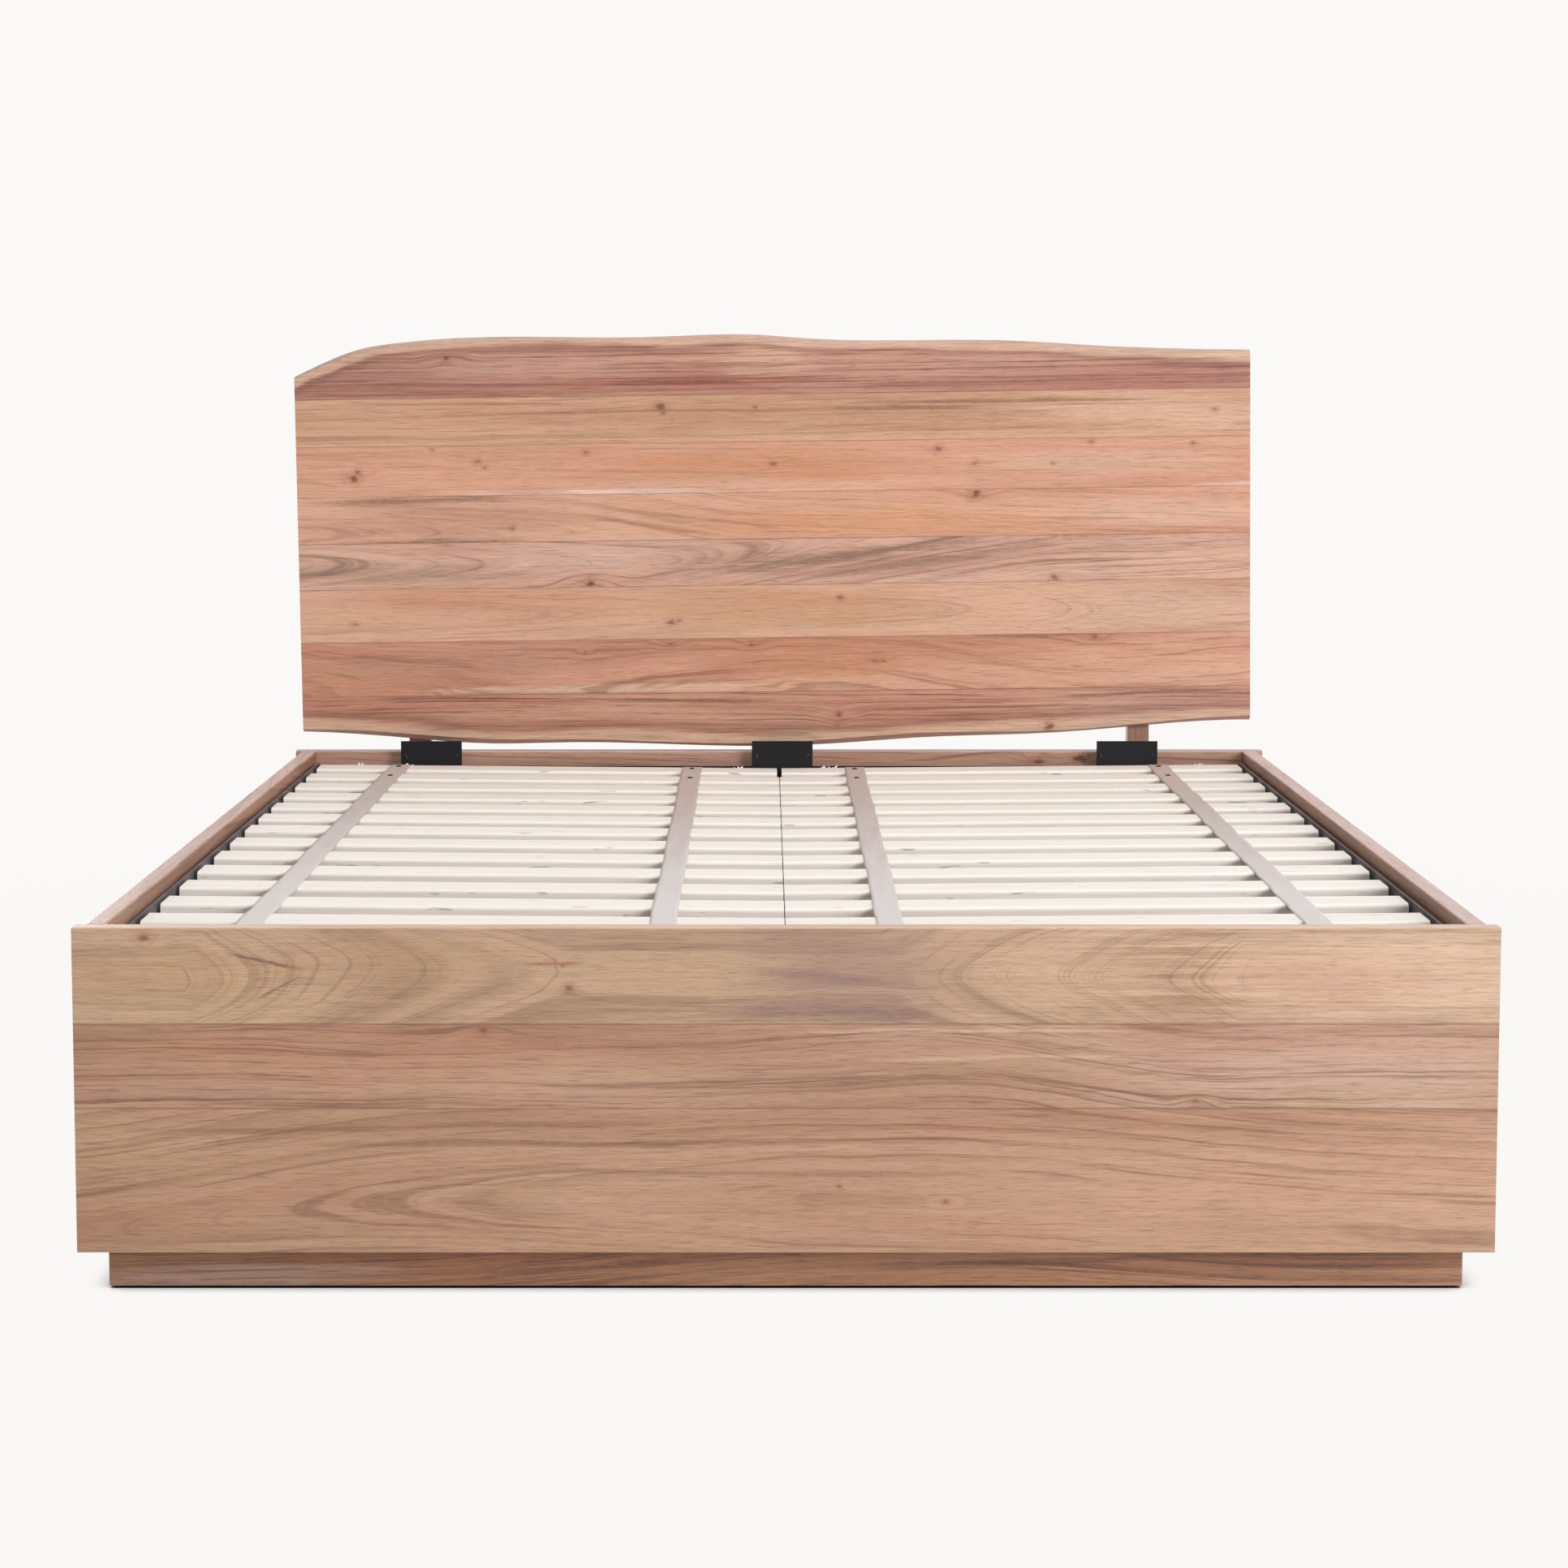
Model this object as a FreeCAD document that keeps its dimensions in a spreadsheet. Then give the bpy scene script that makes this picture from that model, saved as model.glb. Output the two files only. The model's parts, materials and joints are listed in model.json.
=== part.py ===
"""Ottoman bed: a storage bed whose slatted frame lifts on a four-bar linkage with gas struts.

X runs across the bed, Y from the foot (-) to the head (+), Z up. The origin is on the floor,
in the middle of the bed. Lengths are in millimetres, angles in degrees.
"""
import FreeCAD, Part
import math
import os
import re
import Sketcher

doc = FreeCAD.newDocument("OttomanBed")

SIZES = {
    # boards of the box
    "bed_width": 1600,
    "inner_length": 2025,
    "board_height": 370,
    "footboard_thickness": 30,
    "footboard_top_height": 109,
    "footboard_middle_height": 96,
    "head_rail_thickness": 30,
    "side_rail_thickness": 24,
    "rail_overhang": 10,
    "edge_radius": 3,
    # plinth, storage floor and what they stand on
    "glide_height": 3,
    "glide_radius": 10,
    "glide_end_inset": 30,
    "plinth_height": 49,
    "plinth_thickness": 22,
    "plinth_inset": 28,
    "plinth_recess": 45,
    "floor_thickness": 9,
    "floor_clearance": 0.5,
    "joist_width": 45,
    "joist_height": 40,
    # corner blocks and ledges inside the box
    "block_size": 45,
    "ledge_width": 22,
    "ledge_height": 30,
    "ledge_gap": 0.3,
    "side_ledge_length": 1075,
    # bolts that hold the boards to the corner blocks
    "corner_bolt_radius": 3,
    "corner_bolt_bite": 15,
    "corner_head_radius": 8,
    "corner_head_height": 3,
    "side_bolt_low_rise": 70,
    "side_bolt_high_rise": 200,
    "end_bolt_low_rise": 100,
    "end_bolt_high_rise": 230,
    # posts and bolts behind the headboard
    "post_size": 35,
    "post_height": 828,
    "post_inset": 203,
    "bolt_radius": 4,
    "bolt_fit": 0.2,
    "bolt_head_radius": 6.5,
    "bolt_head_height": 5,
    "bolt_bite": 20,
    "bolt_end_room": 1,
    "counterbore_radius": 8,
    "counterbore_depth": 7,
    "lower_rail_bolt_rise": 98,
    "upper_rail_bolt_rise": 298,
    "lower_panel_bolt_drop": 194,
    "upper_panel_bolt_rise": 51,
    # headboard panel, hung a little askew
    "panel_width": 1567,
    "panel_thickness": 28,
    "panel_offset": -8,
    "panel_rise": 338,
    "panel_tilt": 0.75,
    "panel_top_seam": 250,
    "plank_two_height": 78,
    "plank_three_height": 82,
    "plank_four_height": 77,
    "plank_five_height": 76,
    "plank_six_height": 87,
    "plank_seven_height": 89.5,
    "live_top_height": 98,
    "live_bottom_depth": 91,
    "wane_depth": 9,
    "wane_width": 6,
    "wane_swing": 2.5,
    # lift frame
    "slat_recess": 18,
    "slat_thickness": 20,
    "slat_width": 76,
    "slat_round": 5,
    "slat_centre_gap": 1.5,
    "head_slat_centre_gap": 8,
    "slat_end_gap": 8,
    "slat_head_gap": 44,
    "slat_foot_reach": 108,
    "slat_head_pitch": 143,
    "slat_foot_pitch": 115,
    "angle_thickness": 3,
    "angle_height": 25,
    "angle_leg": 40,
    "frame_side_gap": 6,
    "frame_foot_gap": 12,
    "frame_head_gap": 30,
    "centre_drop": 6,
    "centre_flange_width": 60,
    "centre_web_depth": 25,
    "tube_size": 25,
    "tube_wall": 2,
    "tube_end_inset": 20,
    "tube_weld_gap": 0.3,
    "first_tube_place": 530,
    "second_tube_place": 1110,
    "tape_width": 32,
    "tape_thickness": 1.2,
    "tape_gap": 0.05,
    "outer_tape_inset": 139,
    "outer_tape_shift": -1,
    "inner_tape_spread": 266,
    "inner_tape_shift": -10,
    "stop_width": 100,
    "stop_thickness": 3,
    "stop_height": 57.5,
    "outer_stop_inset": 187.5,
    "middle_stop_shift": 5,
    # pivots of the linkage: back from the head rail's inner face, drop below the lift frame
    "rear_ground_back": 309,
    "rear_ground_drop": 32,
    "rear_arm_back": 171,
    "rear_arm_drop": 41,
    "front_ground_back": 617,
    "front_ground_drop": 82,
    "front_arm_back": 295,
    "front_arm_drop": 80,
    "strut_foot_back": 783,
    "strut_foot_drop": 263,
    "strut_top_back": 538,
    "strut_top_drop": 148,
    # plates, links and arms, counted inwards from the side rail
    "plate_thickness": 4,
    "plate_margin": 24,
    "rear_link_gap": 0.5,
    "link_thickness": 6,
    "link_half_width": 16,
    "link_layer_gap": 1.5,
    "crank_brace_reach": 177,
    "arm_gap": 2,
    "arm_thickness": 5,
    "arm_margin": 22,
    "arm_foot_reach": 60,
    "arm_head_reach": 90,
    "arm_leg": 25,
    "strut_inset": 29,
    # pins and studs
    "pin_radius": 5,
    "pin_fit": 0.05,
    "pin_shoulder_radius": 8,
    "pin_head_radius": 9,
    "pin_head_height": 3,
    "pin_ring_height": 2,
    "face_gap": 0.3,
    "open_hole_radius": 9.8,
    "washer_radius": 18,
    "washer_thickness": 3,
    "stud_radius": 4,
    "stud_shoulder_radius": 7,
    "stud_cap_radius": 11,
    "stud_cap_height": 2,
    # gas struts
    "eye_radius": 12,
    "eye_width": 12,
    "open_eye_radius": 7.5,
    "neck_radius": 5,
    "neck_length": 24,
    "barrel_radius": 10,
    "barrel_bore_radius": 8.8,
    "gland_length": 10,
    "rod_radius": 5,
    "rod_show": 18,
    "piston_radius": 8.4,
    "piston_length": 8,
    "piston_rest": 90,
}

# Live edges of the headboard: place across the panel as a share of its half width,
# then how far the edge stands off the nearest seam as a share of its full height or depth
TOP_EDGE = ((-1, 0.388), (-0.93, 0.643), (-0.86, 0.837), (-0.79, 0.923), (-0.65, 1), (-0.25, 0.974),
            (-0.05, 0.995), (0.09, 0.908), (0.23, 0.867), (0.5, 0.837), (0.7, 0.724), (0.77, 0.694),
            (1, 0.633))
BOTTOM_EDGE = ((-1, 0.626), (-0.79, 0.758), (-0.6, 0.89), (-0.44, 0.885), (-0.02, 1), (0.17, 0.945),
               (0.3, 0.879), (0.58, 0.824), (0.72, 0.747), (0.86, 0.659), (1, 0.632))
WANE_WAVES = 7.0

SIDES = (("left", -1), ("right", 1))
SLAT_COUNT = 14
HEAD_SLATS = 7
GLIDES_PER_SIDE = 5
FUNCTIONS = ("sqrt", "atan", "atan2", "sin", "cos")
X_AXIS = FreeCAD.Vector(1, 0, 0)
Y_AXIS = FreeCAD.Vector(0, 1, 0)
QUARTER_TURN = 90

sheet = doc.addObject("Spreadsheet::Sheet", "Sizes")
for row, (alias, size) in enumerate(SIZES.items(), start=1):
    sheet.set("A%d" % row, alias)
    sheet.set("B%d" % row, str(size))
    sheet.setAlias("B%d" % row, alias)
doc.recompute()

nodes = []


def formula(text):
    """The expression for a text of size names, with each name pointed at the sheet."""
    def point(match):
        word = match.group(0)
        return word if word in FUNCTIONS else "Sizes." + word
    return re.sub(r"[a-z][a-z_]+2?", point, text)


def number(text):
    """The value that a text of size names has now."""
    value = sheet.evalExpression(formula(text))
    return getattr(value, "Value", value)


def bind(piece, **sizes):
    for name, text in sizes.items():
        piece.setExpression(name, formula(text))


def place(piece, x, y, z):
    for axis, text in zip("xyz", (x, y, z)):
        piece.setExpression("Placement.Base." + axis, formula(text))


def turn(piece, axis, text):
    piece.Placement = FreeCAD.Placement(FreeCAD.Vector(), FreeCAD.Rotation(axis, 1))
    piece.setExpression("Placement.Rotation.Angle", formula(text))


def node(label, piece):
    """Keep a finished piece under the name it is known by."""
    piece.Label = label
    nodes.append(piece)
    return piece


def box(name, x, y, z, length, width, height):
    piece = doc.addObject("Part::Box", name)
    bind(piece, Length=length, Width=width, Height=height)
    place(piece, x, y, z)
    return piece


def rod_along_x(name, x, y, z, length, radius):
    piece = doc.addObject("Part::Cylinder", name)
    piece.Placement.Rotation = FreeCAD.Rotation(Y_AXIS, QUARTER_TURN)
    bind(piece, Height=length, Radius=radius)
    place(piece, x, y, z)
    return piece


def rod_along_y(name, x, y, z, length, radius):
    piece = doc.addObject("Part::Cylinder", name)
    piece.Placement.Rotation = FreeCAD.Rotation(X_AXIS, -QUARTER_TURN)
    bind(piece, Height=length, Radius=radius)
    place(piece, x, y, z)
    return piece


def group(name, pieces):
    piece = doc.addObject("Part::Compound", name)
    piece.Links = pieces
    return piece


def fuse(name, pieces):
    piece = doc.addObject("Part::MultiFuse", name)
    piece.Shapes = pieces
    piece.Refine = True
    return piece


def cut(name, base, tools):
    piece = doc.addObject("Part::Cut", name)
    piece.Base = base
    piece.Tool = tools[0] if len(tools) == 1 else fuse(name + "_tools", tools)
    return piece


def round_edges(name, board, wanted):
    """Round the edges of a box whose middle passes the test, as a joiner eases a board."""
    doc.recompute()
    rounded = doc.addObject("Part::Fillet", name)
    rounded.Base = board
    bounds = board.Shape.BoundBox
    radius = SIZES["edge_radius"]
    chosen = []
    for index, edge in enumerate(board.Shape.Edges, start=1):
        if wanted(edge.CenterOfMass, bounds):
            chosen.append((index, radius, radius))
    rounded.Edges = chosen
    return rounded


def on(value, limit):
    return abs(value - limit) < SIZES["edge_radius"] / 2


def mirrored(side, inner, outer):
    """Lowest x of a layer that lies from inner to outer on one side of the bed."""
    return inner if side > 0 else "(-(%s))" % outer


def minus(outer, inner):
    return "((%s) - (%s))" % (outer, inner)


# Places shared by several pieces
half_width = "(bed_width / 2)"
half_length = "((footboard_thickness + inner_length + head_rail_thickness + post_size) / 2)"
foot_face = f"(-{half_length})"
inner_foot = f"({foot_face} + footboard_thickness)"
inner_head = f"({inner_foot} + inner_length)"
head_back = f"({inner_head} + head_rail_thickness)"
underside = "(glide_height + plinth_height)"
rail_top = f"({underside} + board_height)"
rail_outer = f"({half_width} - rail_overhang)"
rail_inner = f"({rail_outer} - side_rail_thickness)"
floor_top = f"({underside} + floor_thickness)"
slat_top = f"({rail_top} - slat_recess)"
flange_top = f"({slat_top} - slat_thickness)"
flange_bottom = f"({flange_top} - angle_thickness)"
rest_top = f"({flange_bottom} - ledge_gap)"
end_flange_top = f"({flange_top} - centre_drop)"
end_flange_bottom = f"({flange_bottom} - centre_drop)"
end_rest_top = f"({rest_top} - centre_drop)"


end_bolt_rises = ("end_bolt_low_rise", "end_bolt_high_rise")
side_bolt_rises = ("side_bolt_low_rise", "side_bolt_high_rise")
ENDS = (("foot", 1), ("head", -1))


def corner_rod(name, along, corner, rise, low, high, radius):
    """Round rod through a corner block, from low to high counted inwards from the board's face."""
    side, inward = corner
    face = inner_foot if inward > 0 else inner_head
    middle = "(block_size / 2)"
    z = f"({underside} + {rise})"
    length = minus(high, low)
    if along == "x":
        x = mirrored(side, f"({rail_inner} - {high})", f"({rail_inner} - {low})")
        return rod_along_x(name, x, f"({face} + {inward} * {middle})", z, length, radius)
    start = low if inward > 0 else high
    return rod_along_y(name, f"({side} * ({rail_inner} - {middle}))", f"({face} + {inward} * {start})", z,
                       length, radius)


def board_holes(name, along, corners, rises):
    """Blind holes that a board has for the corner bolts."""
    return [corner_rod(name + "_hole", along, corner, rise, "(-corner_bolt_bite - bolt_end_room)", "0",
                       "(corner_bolt_radius + bolt_fit)") for corner in corners for rise in rises]


def end_corners(inward):
    return [(side, inward) for label, side in SIDES]


def footboard():
    middle_top = f"({rail_top} - footboard_top_height)"
    bottom_top = f"({middle_top} - footboard_middle_height)"
    left = f"(-{half_width})"
    top = box("footboard_top_box", left, foot_face, middle_top,
              "bed_width", "footboard_thickness", "footboard_top_height")
    eased = round_edges("footboard_top_eased", top, lambda middle, bounds:
                        on(middle.z, bounds.ZMax) and not on(abs(middle.x), bounds.XMax))
    node("footboard_plank_top", eased)
    for name, z, height, rise in (("bottom", underside, minus(bottom_top, underside), "end_bolt_low_rise"),
                                  ("middle", bottom_top, "footboard_middle_height", "end_bolt_high_rise")):
        plank = box(f"footboard_{name}", left, foot_face, z, "bed_width", "footboard_thickness", height)
        holes = board_holes(f"footboard_{name}", "y", end_corners(1), (rise,))
        node(f"footboard_plank_{name}", cut(f"footboard_{name}_drilled", plank, holes))


def side_rails():
    for label, side in SIDES:
        x = mirrored(side, rail_inner, rail_outer)
        board = box(label + "_rail_box", x, inner_foot, underside,
                    "side_rail_thickness", "inner_length", "board_height")
        eased = round_edges(label + "_rail_eased", board, lambda middle, bounds:
                            on(middle.z, bounds.ZMax) and not on(middle.y, bounds.YMin)
                            and not on(middle.y, bounds.YMax))
        holes = board_holes(label + "_rail", "x", [(side, inward) for end, inward in ENDS], side_bolt_rises)
        node(label + "_side_rail", cut(label + "_rail_drilled", eased, holes))


def plinth():
    glide_top = "glide_height"
    half = f"({half_width} - plinth_inset)"
    front = f"({foot_face} + plinth_recess)"
    back = f"({head_back} - plinth_recess)"
    side_start = f"({front} + plinth_thickness)"
    side_end = f"({back} - plinth_thickness)"
    for label, y in (("plinth_front", front), ("plinth_back", side_end)):
        node(label, box(label + "_board", f"(-{half})", y, glide_top,
                        f"(2 * {half})", "plinth_thickness", "plinth_height"))
    boards = []
    glides = []
    for label, side in SIDES:
        x = mirrored(side, f"({half} - plinth_thickness)", half)
        boards.append(box(label + "_plinth_board", x, side_start, glide_top,
                          "plinth_thickness", minus(side_end, side_start), "plinth_height"))
        for place_number in range(GLIDES_PER_SIDE):
            share = place_number / (GLIDES_PER_SIDE - 1)
            run = f"({side_end} - {side_start} - 2 * glide_end_inset)"
            glide = doc.addObject("Part::Cylinder", label + "_glide")
            bind(glide, Radius="glide_radius", Height="glide_height")
            place(glide, f"{side} * ({half} - plinth_thickness / 2)",
                  f"{side_start} + glide_end_inset + {share} * {run}", "0")
            glides.append(glide)
    node("plinth_sides", group("plinth_side_boards", boards))
    node("floor_glides", group("glides", glides))
    return half, side_start, side_end


def storage_floor():
    half, side_start, side_end = plinth()
    span = f"(2 * ({half} - plinth_thickness))"
    quarter = f"(({side_end} - {side_start}) / 4)"
    joists = []
    for step in (1, 2, 3):
        y = f"({side_start} + {step} * {quarter} - joist_width / 2)"
        joists.append(box("joist", f"(-{span} / 2)", y, f"({underside} - joist_height)",
                          span, "joist_width", "joist_height"))
    node("floor_joists", group("joists", joists))
    middle = f"({side_start} + 2 * {quarter})"
    start = f"({inner_foot} + floor_clearance)"
    end = f"({inner_head} - floor_clearance)"
    half_floor = f"({rail_inner} - floor_clearance)"
    for label, y, length in (("storage_floor_foot", start, minus(middle, start)),
                             ("storage_floor_head", middle, minus(end, middle))):
        node(label, box(label + "_panel", f"(-{half_floor})", y, underside,
                        f"(2 * {half_floor})", length, "floor_thickness"))


def blocks_and_ledges():
    blocks = []
    bolts = []
    ledges = []
    block_inner = f"({rail_inner} - block_size)"
    for label, side in SIDES:
        x = mirrored(side, block_inner, rail_inner)
        for (end, inward), y in zip(ENDS, (inner_foot, f"({inner_head} - block_size)")):
            block = box(label + "_block", x, y, floor_top,
                        "block_size", "block_size", minus(end_rest_top, floor_top))
            holes = []
            for along, rises in (("x", side_bolt_rises), ("y", end_bolt_rises)):
                for rise in rises:
                    spot = (along, (side, inward), rise)
                    holes.append(corner_rod("block_hole", *spot, "0", "block_size",
                                            "(corner_bolt_radius + bolt_fit)"))
                    shank = corner_rod("corner_shank", *spot, "(-corner_bolt_bite)", "block_size",
                                       "corner_bolt_radius")
                    head = corner_rod("corner_head", *spot, "block_size", "(block_size + corner_head_height)",
                                      "corner_head_radius")
                    bolts.append(fuse("corner_bolt", [shank, head]))
            blocks.append(cut(f"{label}_{end}_block", block, holes))
        ledges.append(box(label + "_ledge", mirrored(side, f"({rail_inner} - ledge_width)", rail_inner),
                          f"({inner_foot} + block_size)", f"({rest_top} - ledge_height)",
                          "ledge_width", "side_ledge_length", "ledge_height"))
    ledges.append(box("foot_ledge", f"(-{block_inner})", inner_foot, f"({end_rest_top} - ledge_height)",
                      f"(2 * {block_inner})", "ledge_width", "ledge_height"))
    node("corner_blocks", group("blocks", blocks))
    node("corner_bolts", group("block_bolts", bolts))
    node("support_ledges", group("ledges", ledges))


panel_front = f"({head_back} - panel_thickness)"
panel_middle = f"({rail_top} + panel_rise)"
rail_bolt_heights = (f"({underside} + lower_rail_bolt_rise)", f"({underside} + upper_rail_bolt_rise)")
panel_bolt_heights = (f"({panel_middle} - lower_panel_bolt_drop)",
                      f"({panel_middle} + upper_panel_bolt_rise)")
post_middle = f"({half_width} - post_inset)"
bolt_seat = f"({head_back} + post_size - counterbore_depth)"


def bolt_holes(name, heights):
    """Holes for the bolts at these heights, from the seat in the post past the bolt's end."""
    holes = []
    for label, side in SIDES:
        for height in heights:
            start = f"({head_back} - bolt_bite - bolt_end_room)"
            holes.append(rod_along_y(name + "_hole", f"({side} * {post_middle})", start, height,
                                     minus(bolt_seat, start), "(bolt_radius + bolt_fit)"))
    return holes


def head_rail_and_posts():
    board = box("head_rail_box", f"(-{half_width})", inner_head, underside,
                "bed_width", "head_rail_thickness", "board_height")
    eased = round_edges("head_rail_eased", board, lambda middle, bounds:
                        on(middle.z, bounds.ZMax) and not on(abs(middle.x), bounds.XMax))
    holes = bolt_holes("head_rail", rail_bolt_heights)
    holes += board_holes("head_rail", "y", end_corners(-1), end_bolt_rises)
    node("head_rail", cut("head_rail_drilled", eased, holes))
    bolts = []
    heights = rail_bolt_heights + panel_bolt_heights
    for label, side in SIDES:
        x = f"({side} * {post_middle})"
        post = box(label + "_post_box", f"({x} - post_size / 2)", head_back, underside,
                   "post_size", "post_size", "post_height")
        eased = round_edges(label + "_post_eased", post, lambda middle, bounds:
                            on(middle.z, bounds.ZMax) and not on(middle.y, bounds.YMin))
        holes = []
        for height in heights:
            holes.append(rod_along_y(label + "_post_hole", x, head_back, height,
                                     "post_size", "(bolt_radius + bolt_fit)"))
            holes.append(rod_along_y(label + "_counterbore", x, bolt_seat, height,
                                     "counterbore_depth", "counterbore_radius"))
            shank_start = f"({head_back} - bolt_bite)"
            shank = rod_along_y(label + "_bolt_shank", x, shank_start, height,
                                minus(bolt_seat, shank_start), "bolt_radius")
            head = rod_along_y(label + "_bolt_head", x, bolt_seat, height,
                               "bolt_head_height", "bolt_head_radius")
            bolts.append(fuse(label + "_bolt", [shank, head]))
        node(label + "_headboard_post", cut(label + "_post_drilled", eased, holes))
    node("headboard_bolts", group("bolts", bolts))


def hang(piece, along, up):
    """Place a plank by its corner in the panel's own tilted directions."""
    turn(piece, -Y_AXIS, "panel_tilt")
    place(piece, f"panel_offset + {along} * cos(panel_tilt) - {up} * sin(panel_tilt)", panel_front,
          f"{panel_middle} + {along} * sin(panel_tilt) + {up} * cos(panel_tilt)")


def live_outline(edge, reach, depth, inset):
    """Closed wire of a live-edged plank at one depth, its seam on the local X axis."""
    half = SIZES["panel_width"] / 2
    points = []
    for share, stand_off in edge:
        wane = SIZES["wane_width"] + SIZES["wane_swing"] * math.sin(WANE_WAVES * share)
        height = reach * stand_off - math.copysign(inset * wane, reach)
        points.append(FreeCAD.Vector(half * (1 + share), depth, height))
    curve = Part.BSplineCurve()
    curve.interpolate(points)
    left = FreeCAD.Vector(0, depth, 0)
    right = FreeCAD.Vector(2 * half, depth, 0)
    return Part.Wire([Part.makeLine(left, right), Part.makeLine(right, points[-1]),
                      curve.toShape(), Part.makeLine(points[0], left)])


def live_plank(label, edge, reach, up):
    """Plank whose outer edge follows the tree, bevelled at the front where the bark came off."""
    sections = [live_outline(edge, reach, 0, 1),
                live_outline(edge, reach, SIZES["wane_depth"], 0),
                live_outline(edge, reach, SIZES["panel_thickness"], 0)]
    piece = doc.addObject("Part::Feature", label)
    piece.Shape = Part.makeLoft(sections, True, True)
    hang(piece, "(-panel_width / 2)", up)
    node(label, piece)


def headboard():
    live_plank("headboard_plank_1", TOP_EDGE, SIZES["live_top_height"], "panel_top_seam")
    seam = "panel_top_seam"
    words = ("two", "three", "four", "five", "six", "seven")
    bolted = {"four": panel_bolt_heights[1:], "seven": panel_bolt_heights[:1]}
    for index, word in enumerate(words, start=2):
        height = f"plank_{word}_height"
        seam = f"({seam} - {height})"
        plank = box(f"plank_{word}", "0", "0", "0", "panel_width", "panel_thickness", height)
        hang(plank, "(-panel_width / 2)", seam)
        if word in bolted:
            plank = cut(f"plank_{word}_drilled", plank, bolt_holes(f"plank_{word}", bolted[word]))
        node(f"headboard_plank_{index}", plank)
    live_plank("headboard_plank_8", BOTTOM_EDGE, -SIZES["live_bottom_depth"], seam)


frame_half = f"({rail_inner} - frame_side_gap)"
frame_foot = f"({inner_foot} + frame_foot_gap)"
frame_head = f"({inner_head} - frame_head_gap)"
frame_middle = f"(({frame_foot} + {frame_head}) / 2)"
frame_run = f"({frame_head} - {frame_foot})"


def wedge(name, length, depth, height):
    """Strip along X, mitred at both ends, its long edge on the local X axis."""
    piece = doc.addObject("Part::Wedge", name)
    bind(piece, Xmin=f"(-{length} / 2)", Xmax=f"({length} / 2)",
         X2min=f"({depth} - {length} / 2)", X2max=f"({length} / 2 - {depth})",
         Ymin="0", Ymax=depth, Zmin="0", Zmax=height, Z2min="0", Z2max=height)
    return piece


def angle_bars():
    """The end bars lie lower than the side bars, level with the centre bar, so that the slats can dip."""
    bars = (("foot_angle_bar", 0, f"(2 * {frame_half})", "0", frame_foot, end_flange_bottom),
            ("right_angle_bar", 90, frame_run, frame_half, frame_middle, flange_bottom),
            ("head_angle_bar", 180, f"(2 * {frame_half})", "0", frame_head, end_flange_bottom),
            ("left_angle_bar", 270, frame_run, f"(-{frame_half})", frame_middle, flange_bottom))
    for label, angle, length, x, y, z in bars:
        flange = wedge(label + "_flange", length, "angle_leg", "angle_thickness")
        upright = wedge(label + "_upright", length, "angle_thickness", "angle_height")
        bar = fuse(label + "_welded", [flange, upright])
        bar.Placement.Rotation = FreeCAD.Rotation(FreeCAD.Vector(0, 0, 1), angle)
        place(bar, x, y, z)
        node(label, bar)


# The slats dip towards the middle, where the centre bar lies lower than the side bars
flange_inner = f"({frame_half} - angle_leg)"
dip_run = f"({flange_inner} - slat_centre_gap / 2)"
dip_slope = f"(centre_drop / {dip_run})"


def dip(piece, side, inner, outer, y, level):
    """Lay a piece on one side with its low-x end in place, sloping down towards the middle.

    Level is the height that it has over the inner edge of the side bar's flange.
    """
    turn(piece, -side * Y_AXIS, f"atan({dip_slope})")
    reach = inner if side > 0 else outer
    place(piece, mirrored(side, inner, outer), y, f"{level} - ({flange_inner} - {reach}) * {dip_slope}")


def centre_bars():
    start = f"({frame_foot} + angle_leg)"
    run = f"({frame_run} - 2 * angle_leg)"
    flange = box("centre_flange", "(-centre_flange_width / 2)", start, end_flange_bottom,
                 "centre_flange_width", run, "angle_thickness")
    web = box("centre_web", "(-angle_thickness / 2)", start, f"({end_flange_bottom} - centre_web_depth)",
              "angle_thickness", run, "centre_web_depth")
    node("centre_bar", fuse("centre_bar_welded", [flange, web]))
    tubes = []
    inner = "(angle_thickness / 2 + tube_weld_gap)"
    outer = f"({frame_half} - tube_end_inset)"
    hollow_size = "(tube_size - 2 * tube_wall)"
    level = f"({flange_bottom} - tube_weld_gap - tube_size)"
    for label, side in SIDES:
        for name in ("first_tube_place", "second_tube_place"):
            solid = box(label + "_tube", "0", "0", "0", minus(outer, inner), "tube_size", "tube_size")
            hollow = box(label + "_tube_hollow", "0", "tube_wall", "tube_wall",
                         minus(outer, inner), hollow_size, hollow_size)
            tube = cut(label + "_cross_tube", solid, [hollow])
            dip(tube, side, inner, outer, f"({inner_foot} + {name} - tube_size / 2)", level)
            tubes.append(tube)
    node("cross_tubes", group("tubes", tubes))


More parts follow.
